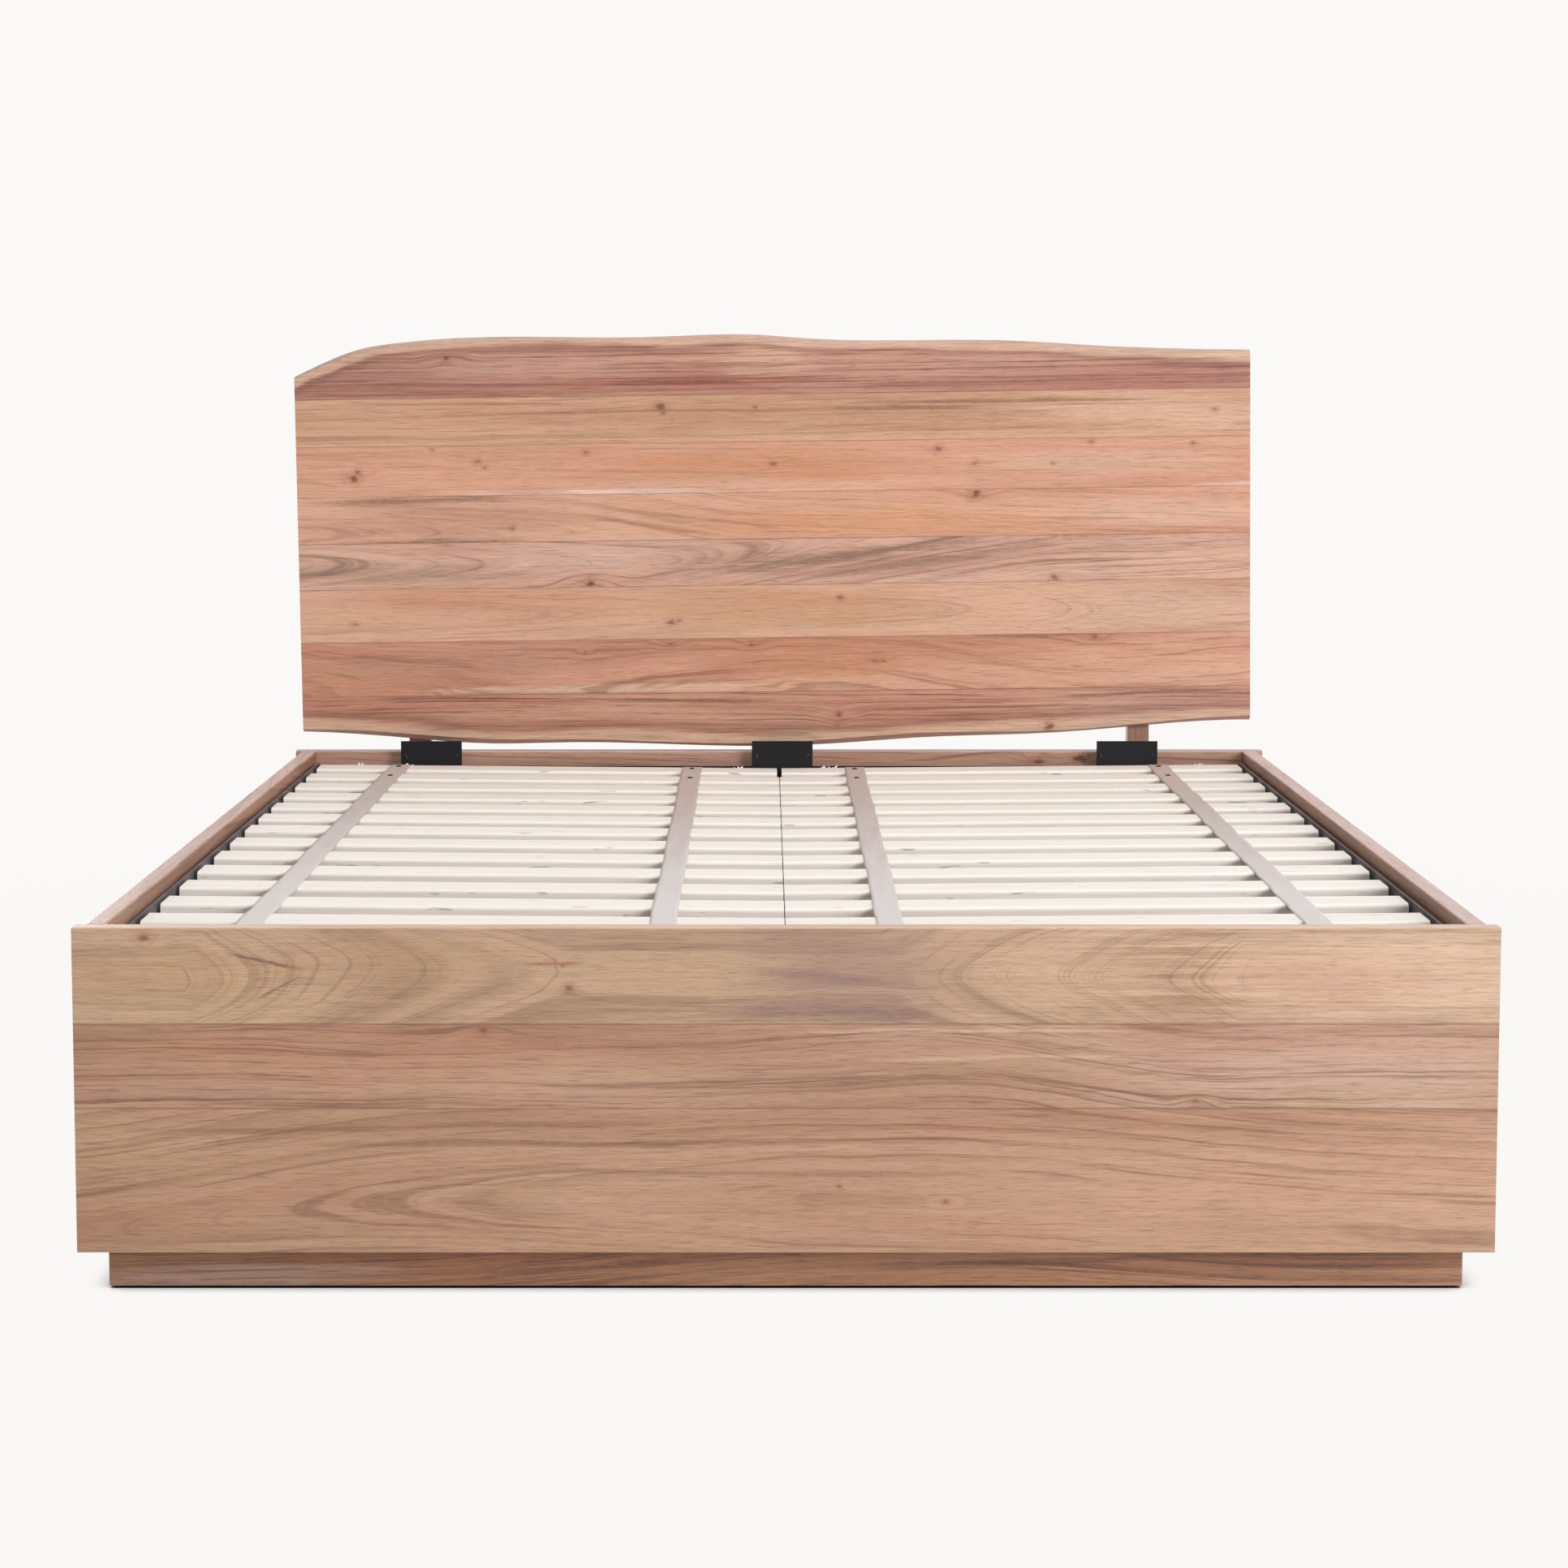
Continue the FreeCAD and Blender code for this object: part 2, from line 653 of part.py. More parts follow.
def slat_profile():
    """Rounded section of a slat, width along the sketch's first axis."""
    width, thick, radius = (SIZES[name] for name in ("slat_width", "slat_thickness", "slat_round"))
    sketch = doc.addObject("Sketcher::SketchObject", "slat_section")
    sketch.Placement.Rotation = FreeCAD.Rotation(FreeCAD.Vector(1, 1, 1), 120)
    corners = ((width - radius, radius, -1), (width - radius, thick - radius, 0),
               (radius, thick - radius, 1), (radius, radius, 2))
    flats = (((radius, 0), (width - radius, 0)), ((width, radius), (width, thick - radius)),
             ((width - radius, thick), (radius, thick)), ((0, thick - radius), (0, radius)))
    for (start, end), (x, y, quarter) in zip(flats, corners):
        sketch.addGeometry(Part.LineSegment(FreeCAD.Vector(*start, 0), FreeCAD.Vector(*end, 0)))
        circle = Part.Circle(FreeCAD.Vector(x, y, 0), FreeCAD.Vector(0, 0, 1), radius)
        sketch.addGeometry(Part.ArcOfCircle(circle, quarter * math.pi / 2, (quarter + 1) * math.pi / 2))
    count = 2 * len(flats)
    for index in range(count):
        sketch.addConstraint(Sketcher.Constraint("Tangent", index, 2, (index + 1) % count, 1))
    for index, kind in ((0, "Horizontal"), (2, "Vertical"), (4, "Horizontal"), (6, "Vertical")):
        sketch.addConstraint(Sketcher.Constraint(kind, index))
    for index in (3, 5, 7):
        sketch.addConstraint(Sketcher.Constraint("Equal", 1, index))
    sketch.addConstraint(Sketcher.Constraint("PointOnObject", 0, 1, -1))
    sketch.addConstraint(Sketcher.Constraint("PointOnObject", 6, 1, -2))
    for text, constraint in (
            ("slat_round", Sketcher.Constraint("Radius", 1, radius)),
            ("slat_width", Sketcher.Constraint("DistanceX", -1, 1, 2, 1, width)),
            ("slat_thickness", Sketcher.Constraint("DistanceY", -1, 1, 4, 1, thick))):
        index = sketch.addConstraint(constraint)
        sketch.setExpression("Constraints[%d]" % index, formula(text))
    return sketch


first_slat_back = f"({inner_head} - slat_head_gap)"
last_slat_back = f"({inner_foot} + slat_foot_reach)"


def slat_backs():
    """Back edge of each slat, head first: a little closer at the head and foot, even between."""
    backs = [f"({first_slat_back} - {step} * slat_head_pitch)" for step in range(HEAD_SLATS)]
    even_count = SLAT_COUNT - HEAD_SLATS - 1
    start = backs[-1]
    even_run = f"({start} - {last_slat_back} - slat_foot_pitch)"
    for step in range(1, even_count + 1):
        backs.append(f"({start} - {step} / {even_count} * {even_run})")
    backs.append(last_slat_back)
    return backs


def slats_and_tapes():
    section = slat_profile()
    outer = f"({frame_half} - slat_end_gap)"
    tape_start = f"({last_slat_back} - slat_width)"
    for label, side in SIDES:
        slats = []
        for index, back in enumerate(slat_backs()):
            inner = "(head_slat_centre_gap / 2)" if index == 0 else "(slat_centre_gap / 2)"
            slat = doc.addObject("Part::Extrusion", label + "_slat")
            slat.Base = section
            slat.DirMode = "Normal"
            slat.Solid = True
            bind(slat, LengthFwd=minus(outer, inner))
            dip(slat, side, inner, outer, f"({back} - slat_width)", flange_top)
            slats.append(slat)
        node(label + "_slats", group(label + "_slat_row", slats))
        reaches = {"outer": f"({frame_half} - outer_tape_inset)", "inner": "(inner_tape_spread / 2)"}
        for name, reach in reaches.items():
            middle = f"({reach} + {side} * {name}_tape_shift)"
            tape = box(f"{label}_{name}_webbing", "0", "0", "0", "tape_width",
                       minus(first_slat_back, tape_start), "tape_thickness")
            dip(tape, side, f"({middle} - tape_width / 2)", f"({middle} + tape_width / 2)", tape_start,
                f"({slat_top} + tape_gap)")
            node(f"{label}_{name}_tape", tape)


def mattress_stops():
    stops = []
    reach = f"({frame_half} - outer_stop_inset)"
    for name, x in (("left", f"(-{reach})"), ("middle", "middle_stop_shift"), ("right", reach)):
        stops.append(box(name + "_stop", f"({x} - stop_width / 2)",
                         f"({frame_head} - angle_thickness - stop_thickness)", end_flange_top,
                         "stop_width", "stop_thickness", "(stop_height + centre_drop)"))
    node("mattress_stops", group("stops", stops))


def pivot(name):
    """Y and Z of a pivot from its two distances."""
    return f"({inner_head} - {name}_back)", f"({flange_bottom} - {name}_drop)"


rear_ground = pivot("rear_ground")
rear_arm = pivot("rear_arm")
front_ground = pivot("front_ground")
front_arm = pivot("front_arm")
strut_foot = pivot("strut_foot")
strut_top = pivot("strut_top")
plate_face = f"({rail_inner} - plate_thickness)"
rear_link_outer = f"({plate_face} - rear_link_gap)"
rear_link_inner = f"({rear_link_outer} - link_thickness)"
front_link_outer = f"({rear_link_inner} - link_layer_gap)"
front_link_inner = f"({front_link_outer} - link_thickness)"
arm_outer = f"({front_link_inner} - arm_gap)"
arm_inner = f"({arm_outer} - arm_thickness)"
strut_middle = f"({rail_inner} - strut_inset)"
eye_outer = f"({strut_middle} + eye_width / 2)"
eye_inner = f"({strut_middle} - eye_width / 2)"


def flat_plate(label, corners, holes, x, thickness):
    """Plate in the YZ plane padded along X from a sketch of straight sides and round holes."""
    body = doc.addObject("PartDesign::Body", label)
    plane = [item for item in body.Origin.OriginFeatures if item.Role == "YZ_Plane"][0]
    sketch = body.newObject("Sketcher::SketchObject", label + "_outline")
    sketch.AttachmentSupport = (plane, [""])
    sketch.MapMode = "FlatFace"
    origin_y, origin_z = corners[0]
    places = [(minus(y, origin_y), minus(z, origin_z)) for y, z in corners]
    points = [FreeCAD.Vector(number(y), number(z), 0) for y, z in places]
    count = len(points)
    for index in range(count):
        sketch.addGeometry(Part.LineSegment(points[index], points[(index + 1) % count]))
    for index in range(count):
        sketch.addConstraint(Sketcher.Constraint("Coincident", index, 2, (index + 1) % count, 1))
    sketch.addConstraint(Sketcher.Constraint("Coincident", 0, 1, -1, 1))
    for index in range(1, count):
        hold_point(sketch, index, 1, points[index], places[index])
    for y, z, radius in holes:
        spot = (minus(y, origin_y), minus(z, origin_z))
        middle = FreeCAD.Vector(number(spot[0]), number(spot[1]), 0)
        index = sketch.addGeometry(Part.Circle(middle, FreeCAD.Vector(0, 0, 1), number(radius)))
        hold_point(sketch, index, 3, middle, spot)
        held = sketch.addConstraint(Sketcher.Constraint("Radius", index, number(radius)))
        sketch.setExpression("Constraints[%d]" % held, formula(radius))
    pad = body.newObject("PartDesign::Pad", label + "_pad")
    pad.Profile = sketch
    bind(pad, Length=thickness)
    place(body, x, origin_y, origin_z)
    return body


def hold_point(sketch, index, end, point, texts):
    for kind, value, text in (("DistanceX", point.x, texts[0]), ("DistanceY", point.y, texts[1])):
        held = sketch.addConstraint(Sketcher.Constraint(kind, -1, 1, index, end, value))
        sketch.setExpression("Constraints[%d]" % held, formula(text))


def mount_plate(label, side):
    def near(spot, back, up):
        return f"({spot[0]} + {back} * plate_margin)", f"({spot[1]} + {up} * plate_margin)"
    corners = (near(strut_foot, -1, -1), near(strut_foot, 1, -1), near(front_ground, 1, -1),
               near(rear_ground, 1, -1), near(rear_ground, 1, 1), near(front_ground, -1, 1),
               near(strut_foot, -1, 1))
    node(label + "_mount_plate", flat_plate(label + "_plate", corners, (),
                                            mirrored(side, plate_face, rail_inner), "plate_thickness"))


def lift_arm(label, side):
    front_y, front_z = front_arm
    rear_y, rear_z = rear_arm
    low_front = f"({front_z} - arm_margin)"
    low_rear = f"({rear_z} - arm_margin)"
    arm_foot = f"({front_y} - arm_foot_reach)"
    arm_head = f"({rear_y} + arm_head_reach)"
    corners = ((arm_foot, f"({flange_bottom} - arm_leg)"), (f"({front_y} - arm_margin)", low_front),
               (f"({front_y} + arm_margin)", low_front), (f"({rear_y} + arm_margin)", low_rear),
               (arm_head, f"({flange_bottom} - arm_leg)"), (arm_head, flange_bottom),
               (arm_foot, flange_bottom))
    upright = flat_plate(label + "_arm_upright", corners, ((front_y, front_z, "open_hole_radius"),),
                         mirrored(side, arm_inner, arm_outer), "arm_thickness")
    leg = box(label + "_arm_leg", mirrored(side, f"({arm_outer} - arm_leg)", arm_outer), arm_foot,
              f"({flange_bottom} - arm_thickness)", "arm_leg", minus(arm_head, arm_foot), "arm_thickness")
    node(label + "_lift_arm", fuse(label + "_arm", [upright, leg]))


def stretch(start, end):
    """Length and slope of the line between two pivots."""
    run = minus(end[0], start[0])
    rise = minus(end[1], start[1])
    return f"sqrt(({run}) * ({run}) + ({rise}) * ({rise}))", f"atan2({rise}; {run})"


def bar(name, start, end, x):
    """Flat bar between two pivots, to be rounded off by discs at both."""
    length, slope = stretch(start, end)
    piece = doc.addObject("Part::Box", name)
    bind(piece, Length="link_thickness", Width=length, Height="(2 * link_half_width)")
    turn(piece, X_AXIS, slope)
    place(piece, x, f"{start[0]} + link_half_width * sin({slope})",
          f"{start[1]} - link_half_width * cos({slope})")
    return piece


def disc(name, spot, x, radius="link_half_width", thickness="link_thickness"):
    return rod_along_x(name, x, spot[0], spot[1], thickness, radius)


def links(label, side):
    running = "(pin_radius + pin_fit)"
    x = mirrored(side, rear_link_inner, rear_link_outer)
    blank = fuse(label + "_rear_blank", [bar(label + "_rear_bar", rear_ground, rear_arm, x),
                                         disc(label + "_rear_disc", rear_ground, x),
                                         disc(label + "_rear_disc", rear_arm, x)])
    holes = [disc(label + "_rear_hole", spot, x, running) for spot in (rear_ground, rear_arm)]
    node(label + "_rear_link", cut(label + "_rear_drilled", blank, holes))
    x = mirrored(side, front_link_inner, front_link_outer)
    length, slope = stretch(front_ground, front_arm)
    brace = (f"({front_ground[0]} + crank_brace_reach * cos({slope}))",
             f"({front_ground[1]} + crank_brace_reach * sin({slope}))")
    ends = ((front_ground, front_arm), (front_ground, strut_top), (strut_top, brace))
    pieces = [bar(label + "_front_bar", start, end, x) for start, end in ends]
    pieces += [disc(label + "_front_disc", spot, x) for spot in (front_ground, front_arm, strut_top)]
    blank = fuse(label + "_front_blank", pieces)
    node(label + "_front_link", cut(label + "_front_drilled", blank,
                                    [disc(label + "_front_hole", front_ground, x, running)]))


def pin(name, side, spot, steps):
    """Turned pin along X; each step runs from inner to outer x with its own radius."""
    pieces = []
    for inner, outer, radius in steps:
        pieces.append(rod_along_x(name + "_step", mirrored(side, inner, outer), spot[0], spot[1],
                                  minus(outer, inner), radius))
    return pieces[0] if len(pieces) == 1 else fuse(name, pieces)


def stud_steps(outer):
    """Stud for a strut's eye: shoulder, shank through the eye, cap."""
    shoulder = f"({eye_outer} + face_gap)"
    shank_end = f"({eye_inner} - face_gap)"
    return ((shoulder, outer, "stud_shoulder_radius"), (shank_end, shoulder, "stud_radius"),
            (f"({shank_end} - stud_cap_height)", shank_end, "stud_cap_radius"))


def pins():
    ground = []
    studs = []
    arm_pins = []
    for label, side in SIDES:
        ground.append(pin(label + "_rear_ground_pin", side, rear_ground,
                          ((rear_link_inner, plate_face, "pin_radius"),)))
        shoulder = f"({front_link_outer} + face_gap)"
        head = f"({front_link_inner} - face_gap)"
        ground.append(pin(label + "_front_ground_pin", side, front_ground,
                          ((shoulder, plate_face, "pin_shoulder_radius"), (head, shoulder, "pin_radius"),
                           (f"({head} - pin_head_height)", head, "pin_head_radius"))))
        studs.append(pin(label + "_lower_stud", side, strut_foot, stud_steps(plate_face)))
        shoulder = f"({rear_link_inner} - face_gap)"
        cap = f"({rear_link_outer} + face_gap)"
        cap_end = f"({cap} + pin_ring_height)"
        arm_pins.append(pin(label + "_arm_pin", side, rear_arm,
                            ((arm_outer, shoulder, "pin_shoulder_radius"), (shoulder, cap, "pin_radius"),
                             (cap, cap_end, "pin_shoulder_radius"))))
        washer = f"({arm_inner} - face_gap)"
        front_pin = pin(label + "_front_pin", side, front_arm,
                        ((washer, front_link_inner, "pin_radius"),
                         (f"({washer} - washer_thickness)", washer, "washer_radius")))
        upper_stud = pin(label + "_upper_stud", side, strut_top, stud_steps(front_link_inner))
        node(label + "_front_link_pins", group(label + "_crank_pins", [front_pin, upper_stud]))
    node("plate_pivot_pins", group("ground_pins", ground))
    node("lower_strut_studs", group("strut_studs", studs))
    node("arm_pivot_pins", group("arm_pins", arm_pins))


def strut(label, side):
    """Gas strut drawn along the local Y axis, from the lower eye to the upper one."""
    length, slope = stretch(strut_foot, strut_top)
    barrel_end = f"({length} - eye_radius - rod_show)"
    eye_x = "(-eye_width / 2)"
    outside = fuse(label + "_barrel_outside", [
        rod_along_x(label + "_lower_eye", eye_x, "0", "0", "eye_width", "eye_radius"),
        rod_along_y(label + "_neck", "0", "0", "0", "neck_length", "neck_radius"),
        rod_along_y(label + "_barrel_tube", "0", "neck_length", "0", minus(barrel_end, "neck_length"),
                    "barrel_radius")])
    bore_start = "(neck_length + barrel_radius - barrel_bore_radius)"
    bore_end = f"({barrel_end} - gland_length)"
    barrel = cut(label + "_barrel", outside, [
        rod_along_x(label + "_lower_eye_hole", eye_x, "0", "0", "eye_width", "(stud_radius + pin_fit)"),
        rod_along_y(label + "_bore", "0", bore_start, "0", minus(bore_end, bore_start), "barrel_bore_radius"),
        rod_along_y(label + "_gland", "0", bore_end, "0", "gland_length", "(rod_radius + pin_fit)")])
    piston_start = "(neck_length + piston_rest)"
    rod_solid = fuse(label + "_rod_solid", [
        rod_along_y(label + "_piston", "0", piston_start, "0", "piston_length", "piston_radius"),
        rod_along_y(label + "_shaft", "0", piston_start, "0", minus(length, piston_start), "rod_radius"),
        rod_along_x(label + "_upper_eye", eye_x, length, "0", "eye_width", "eye_radius")])
    rod = cut(label + "_rod", rod_solid, [
        rod_along_x(label + "_upper_eye_hole", eye_x, length, "0", "eye_width", "open_eye_radius")])
    for name, piece in (("barrel", barrel), ("rod", rod)):
        turn(piece, X_AXIS, slope)
        place(piece, f"{side} * {strut_middle}", strut_foot[0], strut_foot[1])
        node(f"{label}_strut_{name}", piece)


footboard()
side_rails()
storage_floor()
blocks_and_ledges()
head_rail_and_posts()
headboard()
angle_bars()
centre_bars()
slats_and_tapes()
mattress_stops()
for side_label, side_sign in SIDES:
    mount_plate(side_label, side_sign)
    lift_arm(side_label, side_sign)
    links(side_label, side_sign)
    strut(side_label, side_sign)
pins()
doc.recompute()

for item in doc.Objects:
    if "Invalid" in item.State or "Error" in item.State:
        raise RuntimeError("%s is %s" % (item.Label, item.State))
os.makedirs("parts", exist_ok=True)
for piece in nodes:
    if piece.Shape.isNull() or not piece.Shape.isValid() or not piece.Shape.Solids:
        raise RuntimeError("%s has no sound solid" % piece.Label)
    piece.Shape.exportStep("parts/%s.step" % piece.Label)
print("%d nodes, %d solids" % (len(nodes), sum(len(piece.Shape.Solids) for piece in nodes)))
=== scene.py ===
"""Looks of the ottoman bed: camera, light, wood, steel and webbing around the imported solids."""

import json
import math

import bmesh
import bpy
from mathutils import Color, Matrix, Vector


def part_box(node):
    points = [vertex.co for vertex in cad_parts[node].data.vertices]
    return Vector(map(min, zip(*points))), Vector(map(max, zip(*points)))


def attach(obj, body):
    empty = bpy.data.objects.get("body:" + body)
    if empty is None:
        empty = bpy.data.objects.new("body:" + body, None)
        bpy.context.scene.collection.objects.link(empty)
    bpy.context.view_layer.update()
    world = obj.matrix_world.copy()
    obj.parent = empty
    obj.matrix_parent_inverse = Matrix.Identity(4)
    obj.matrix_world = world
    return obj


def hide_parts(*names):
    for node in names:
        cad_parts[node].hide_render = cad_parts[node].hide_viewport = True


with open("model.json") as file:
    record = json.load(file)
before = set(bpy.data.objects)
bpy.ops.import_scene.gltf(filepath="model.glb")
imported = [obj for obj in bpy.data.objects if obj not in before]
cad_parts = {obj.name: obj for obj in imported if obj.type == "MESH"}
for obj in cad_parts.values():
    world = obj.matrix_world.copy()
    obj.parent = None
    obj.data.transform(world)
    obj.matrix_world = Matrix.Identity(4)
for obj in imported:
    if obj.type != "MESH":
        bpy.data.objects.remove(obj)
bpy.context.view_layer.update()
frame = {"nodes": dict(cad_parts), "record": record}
nodes = frame["nodes"]

COLOUR_STEPS = 255


def srgb(*steps):
    """A colour given in the usual 0 to 255 steps, as linear light."""
    shares = Color([step / COLOUR_STEPS for step in steps])
    return (*shares.from_srgb_to_scene_linear(), 1.0)


# Camera at the photograph's viewing angle
CAMERA_PLACE = (-0.02428, -5.27606, 1.02829)
CAMERA_DOWN_DEG = 6.02
CAMERA_LENS = 87.374
CAMERA_SHIFT_X = 0.01247


def camera():
    data = bpy.data.cameras.new("camera")
    data.lens = CAMERA_LENS
    data.shift_x = CAMERA_SHIFT_X
    made = bpy.data.objects.new("camera", data)
    made.location = CAMERA_PLACE
    made.rotation_euler = (math.radians(90 - CAMERA_DOWN_DEG), 0, 0)
    bpy.context.scene.collection.objects.link(made)
    bpy.context.scene.camera = made


class Value:
    """A number that varies over a surface, with ordinary arithmetic."""

    def __init__(self, graph, socket):
        self.graph = graph
        self.socket = socket

    def _math(self, operation, other=0.0, swap=False):
        first, second = (other, self) if swap else (self, other)
        made = self.graph.add("ShaderNodeMath", operation=operation)
        self.graph.put(made.inputs[0], first)
        self.graph.put(made.inputs[1], second)
        return Value(self.graph, made.outputs[0])

    def __add__(self, other):
        return self._math("ADD", other)

    def __sub__(self, other):
        return self._math("SUBTRACT", other)

    def __rsub__(self, other):
        return self._math("SUBTRACT", other, swap=True)

    def __mul__(self, other):
        return self._math("MULTIPLY", other)

    def __truediv__(self, other):
        return self._math("DIVIDE", other)

    __radd__ = __add__
    __rmul__ = __mul__

    def length(self, other):
        return (self * self + other * other)._math("SQRT")

    def sine(self):
        return self._math("SINE")

    def part(self):
        return self._math("FRACT")

    def whole(self):
        return self._math("FLOOR")

    def top(self, other):
        return self._math("MAXIMUM", other)

    def low(self, other):
        return self._math("MINIMUM", other)

    def size(self):
        return self._math("ABSOLUTE")

    def step(self, start, end):
        """0 before start and 1 after end, smoothly."""
        made = self.graph.add("ShaderNodeMapRange", interpolation_type="SMOOTHSTEP")
        for name, value in (("Value", self), ("From Min", start), ("From Max", end)):
            self.graph.put(made.inputs[name], value)
        return Value(self.graph, made.outputs["Result"])


class Graph:
    """A node tree under construction, with short calls for its nodes."""

    def __init__(self, owner):
        owner.use_nodes = True
        self.tree = owner.node_tree

    def add(self, kind, **settings):
        made = self.tree.nodes.new(kind)
        for name, value in settings.items():
            setattr(made, name, value)
        return made

    def put(self, socket, value):
        value = value.socket if isinstance(value, Value) else value
        if isinstance(value, bpy.types.NodeSocket):
            self.tree.links.new(value, socket)
        else:
            socket.default_value = value

    def shown(self):
        """1 for rays that show the ground, also mirrored or through glass, and 0 for others."""
        path = self.add("ShaderNodeLightPath")
        seen = Value(self, path.outputs["Is Camera Ray"])
        for ray in ("Is Glossy Ray", "Is Transmission Ray"):
            seen = seen.top(Value(self, path.outputs[ray]))
        return seen


class Surface(Graph):
    """One material under construction."""

    def __init__(self, name):
        self.material = bpy.data.materials.new(name)
        super().__init__(self.material)
        self.shader = self.tree.nodes["Principled BSDF"]

    def place(self, axes):
        """The point's coordinates in the part's frame, in metres, in the order asked for."""
        split = self.add("ShaderNodeSeparateXYZ")
        self.put(split.inputs[0], self.add("ShaderNodeTexCoord").outputs["Object"])
        return [Value(self, split.outputs[axis.upper()]) for axis in axes]

    def island(self):
        """A random share for each separate solid."""
        return Value(self, self.add("ShaderNodeNewGeometry").outputs["Random Per Island"])

    def noise(self, u, v=0.0, w=0.0, detail=2.0, rough=0.5):
        joined = self.add("ShaderNodeCombineXYZ")
        for socket, value in zip(joined.inputs, (u, v, w)):
            self.put(socket, value)
        made = self.add("ShaderNodeTexNoise")
        self.put(made.inputs["Vector"], joined.outputs[0])
        for name, value in (("Scale", 1.0), ("Detail", detail), ("Roughness", rough)):
            made.inputs[name].default_value = value
        return Value(self, made.outputs["Fac"])

    def chance(self, number):
        """A random share for each whole number."""
        made = self.add("ShaderNodeTexWhiteNoise", noise_dimensions="1D")
        self.put(made.inputs["W"], number)
        return Value(self, made.outputs["Value"])

    def curve(self, value, points):
        """A smooth line through points that go from 0 to 1 both ways."""
        made = self.add("ShaderNodeFloatCurve")
        line = made.mapping.curves[0]
        for place, height in points[1:-1]:
            line.points.new(place, height)
        for point, (place, height) in zip(line.points, points):
            point.location = (place, height)
        made.mapping.update()
        self.put(made.inputs["Value"], value)
        return Value(self, made.outputs["Value"])

    def facing(self, axis="Z"):
        """How far the surface faces along an axis, from -1 to 1."""
        split = self.add("ShaderNodeSeparateXYZ")
        self.put(split.inputs[0], self.add("ShaderNodeTexCoord").outputs["Normal"])
        return Value(self, split.outputs[axis])

    def mix(self, share, first, second):
        made = self.add("ShaderNodeMix", data_type="RGBA", blend_type="MIX")
        self.put(made.inputs["Factor"], share)
        colours = [socket for socket in made.inputs if socket.type == "RGBA"]
        self.put(colours[0], first)
        self.put(colours[1], second)
        return next(socket for socket in made.outputs if socket.type == "RGBA")

    def brighten(self, colour, amount):
        """Multiply a colour by a number."""
        made = self.add("ShaderNodeVectorMath", operation="SCALE")
        self.put(made.inputs[0], colour)
        self.put(made.inputs["Scale"], amount)
        return made.outputs[0]

    def finish(self, colour, rough, height, depth, **fixed):
        """Set the shader: colour, roughness, relief, and values that are the same all over."""
        self.put(self.shader.inputs["Base Color"], colour)
        self.put(self.shader.inputs["Roughness"], rough)
        bump = self.add("ShaderNodeBump")
        bump.inputs["Distance"].default_value = depth
        self.put(bump.inputs["Height"], height)
        self.put(self.shader.inputs["Normal"], bump.outputs["Normal"])
        for name, value in fixed.items():
            self.shader.inputs[name.replace("_", " ")].default_value = value
        return self.material


# Grain patterns, as waves per metre along the grain and across it
SLOW = (1.3, 7.0)
SWAY = (4.5, 26.0)
STRIP = (5.0, 85.0)
HAIR = (9.0, 330.0)
RAGGED = (110.0, 170.0)
STRENGTH = (2.2, 16.0)
MOOD = (2.6, 15.0)
DASHES = (16.0, 420.0)
PORES = (40.0, 1400.0)
FLAME = (22.0, 9.0)

# Threads along, through the rings and into the wood, and how the patterns are drawn
THREAD = (2.2, 190.0, 8.0)
NOISE_MIDDLE = 0.5
STRIP_ROUGH = 0.6
HAIR_ROUGH = 0.65
THREAD_ROUGH = 0.7
MOOD_SEED = 1.7
FLAME_BEND = 3.0

# How the rings bend: shares of the grain patterns, and a knot's pull in radii
SWAY_SHARE = 0.3
WAIST_WANDER = 0.2
BULGE_WANDER = 0.2
KNOT_WANDER = 0.3
KNOT_REACH_ALONG = 9.0
KNOT_REACH_ACROSS = 3.5
KNOT_PULL = 1.4

# How a ring looks from its inside at 0 to its outside at 1
UNEVEN_RINGS = 0.4
UNEVEN_ALONG = 0.5
UNEVEN_AMOUNT = 2.4
LATE_START = 0.25
SOFT_DROP = 0.55
CRISP_DROP = 0.39
CRISP_RISE = (0.76, 0.9)
CRISP_FALL = (0.92, 0.99)
CRISP_CHANCE = (0.3, 0.9)
BROAD_RINGS = 0.22
BROAD_ALONG = 0.6
BROAD_STEP = (0.36, 0.64)
STRENGTH_STEP = (0.3, 0.7)
STRENGTH_SHARE = 0.8
LATE_CHANCE = 0.7
LATE_LEAST = 0.15
LATE_SHARE = 0.7

# Tones over the rings: drifts of hue, threads, streaks, knots, pores and relief
REDDISH_STEP = (0.52, 0.72)
REDDISH_SHARE = 0.2
OLIVE_STEP = (0.3, 0.48)
OLIVE_SHARE = 0.18
DARK_THREAD_STEP = (0.52, 0.64)
DARK_THREAD_SHARE = 0.75
PALE_THREAD_STEP = (0.34, 0.46)
PALE_THREAD_SHARE = 0.6
PATCH_STEP = (0.0, 0.7)
STREAK_STEP = (0.05, 0.8)
STREAK_END_STEP = (0.4, 1.0)
STREAK_RAGGED = 0.8
SEAM_HALF = 0.0013
SEAM_STEP = (0.3, 1.0)
SEAM_STRENGTH = 0.35
SEAM_LEAST = 0.3
UPWARD_STEP = (0.5, 0.95)
UPWARD_BASE = 0.9
SIDEWAYS_STEP = (0.5, 0.9)
KNOT_LONG = 1.6
KNOT_HALO_STEP = (0.4, 2.2)
KNOT_HALO_SHARE = 0.35
KNOT_HEART_STEP = (0.1, 0.9)
KNOT_HEART_LEAST = 0.25
KNOT_HEART_GAIN = 65
DASH_STEP = (0.6, 0.7)
PORE_STEP = (0.58, 0.72)
FLAME_SHADE = 0.06
PORE_SHADE = 0.15
DASH_SHADE = 0.32
HAIR_MATT = 0.25
PORE_MATT = 0.08
PORE_DEPTH = 0.5
DASH_DEPTH = 0.3

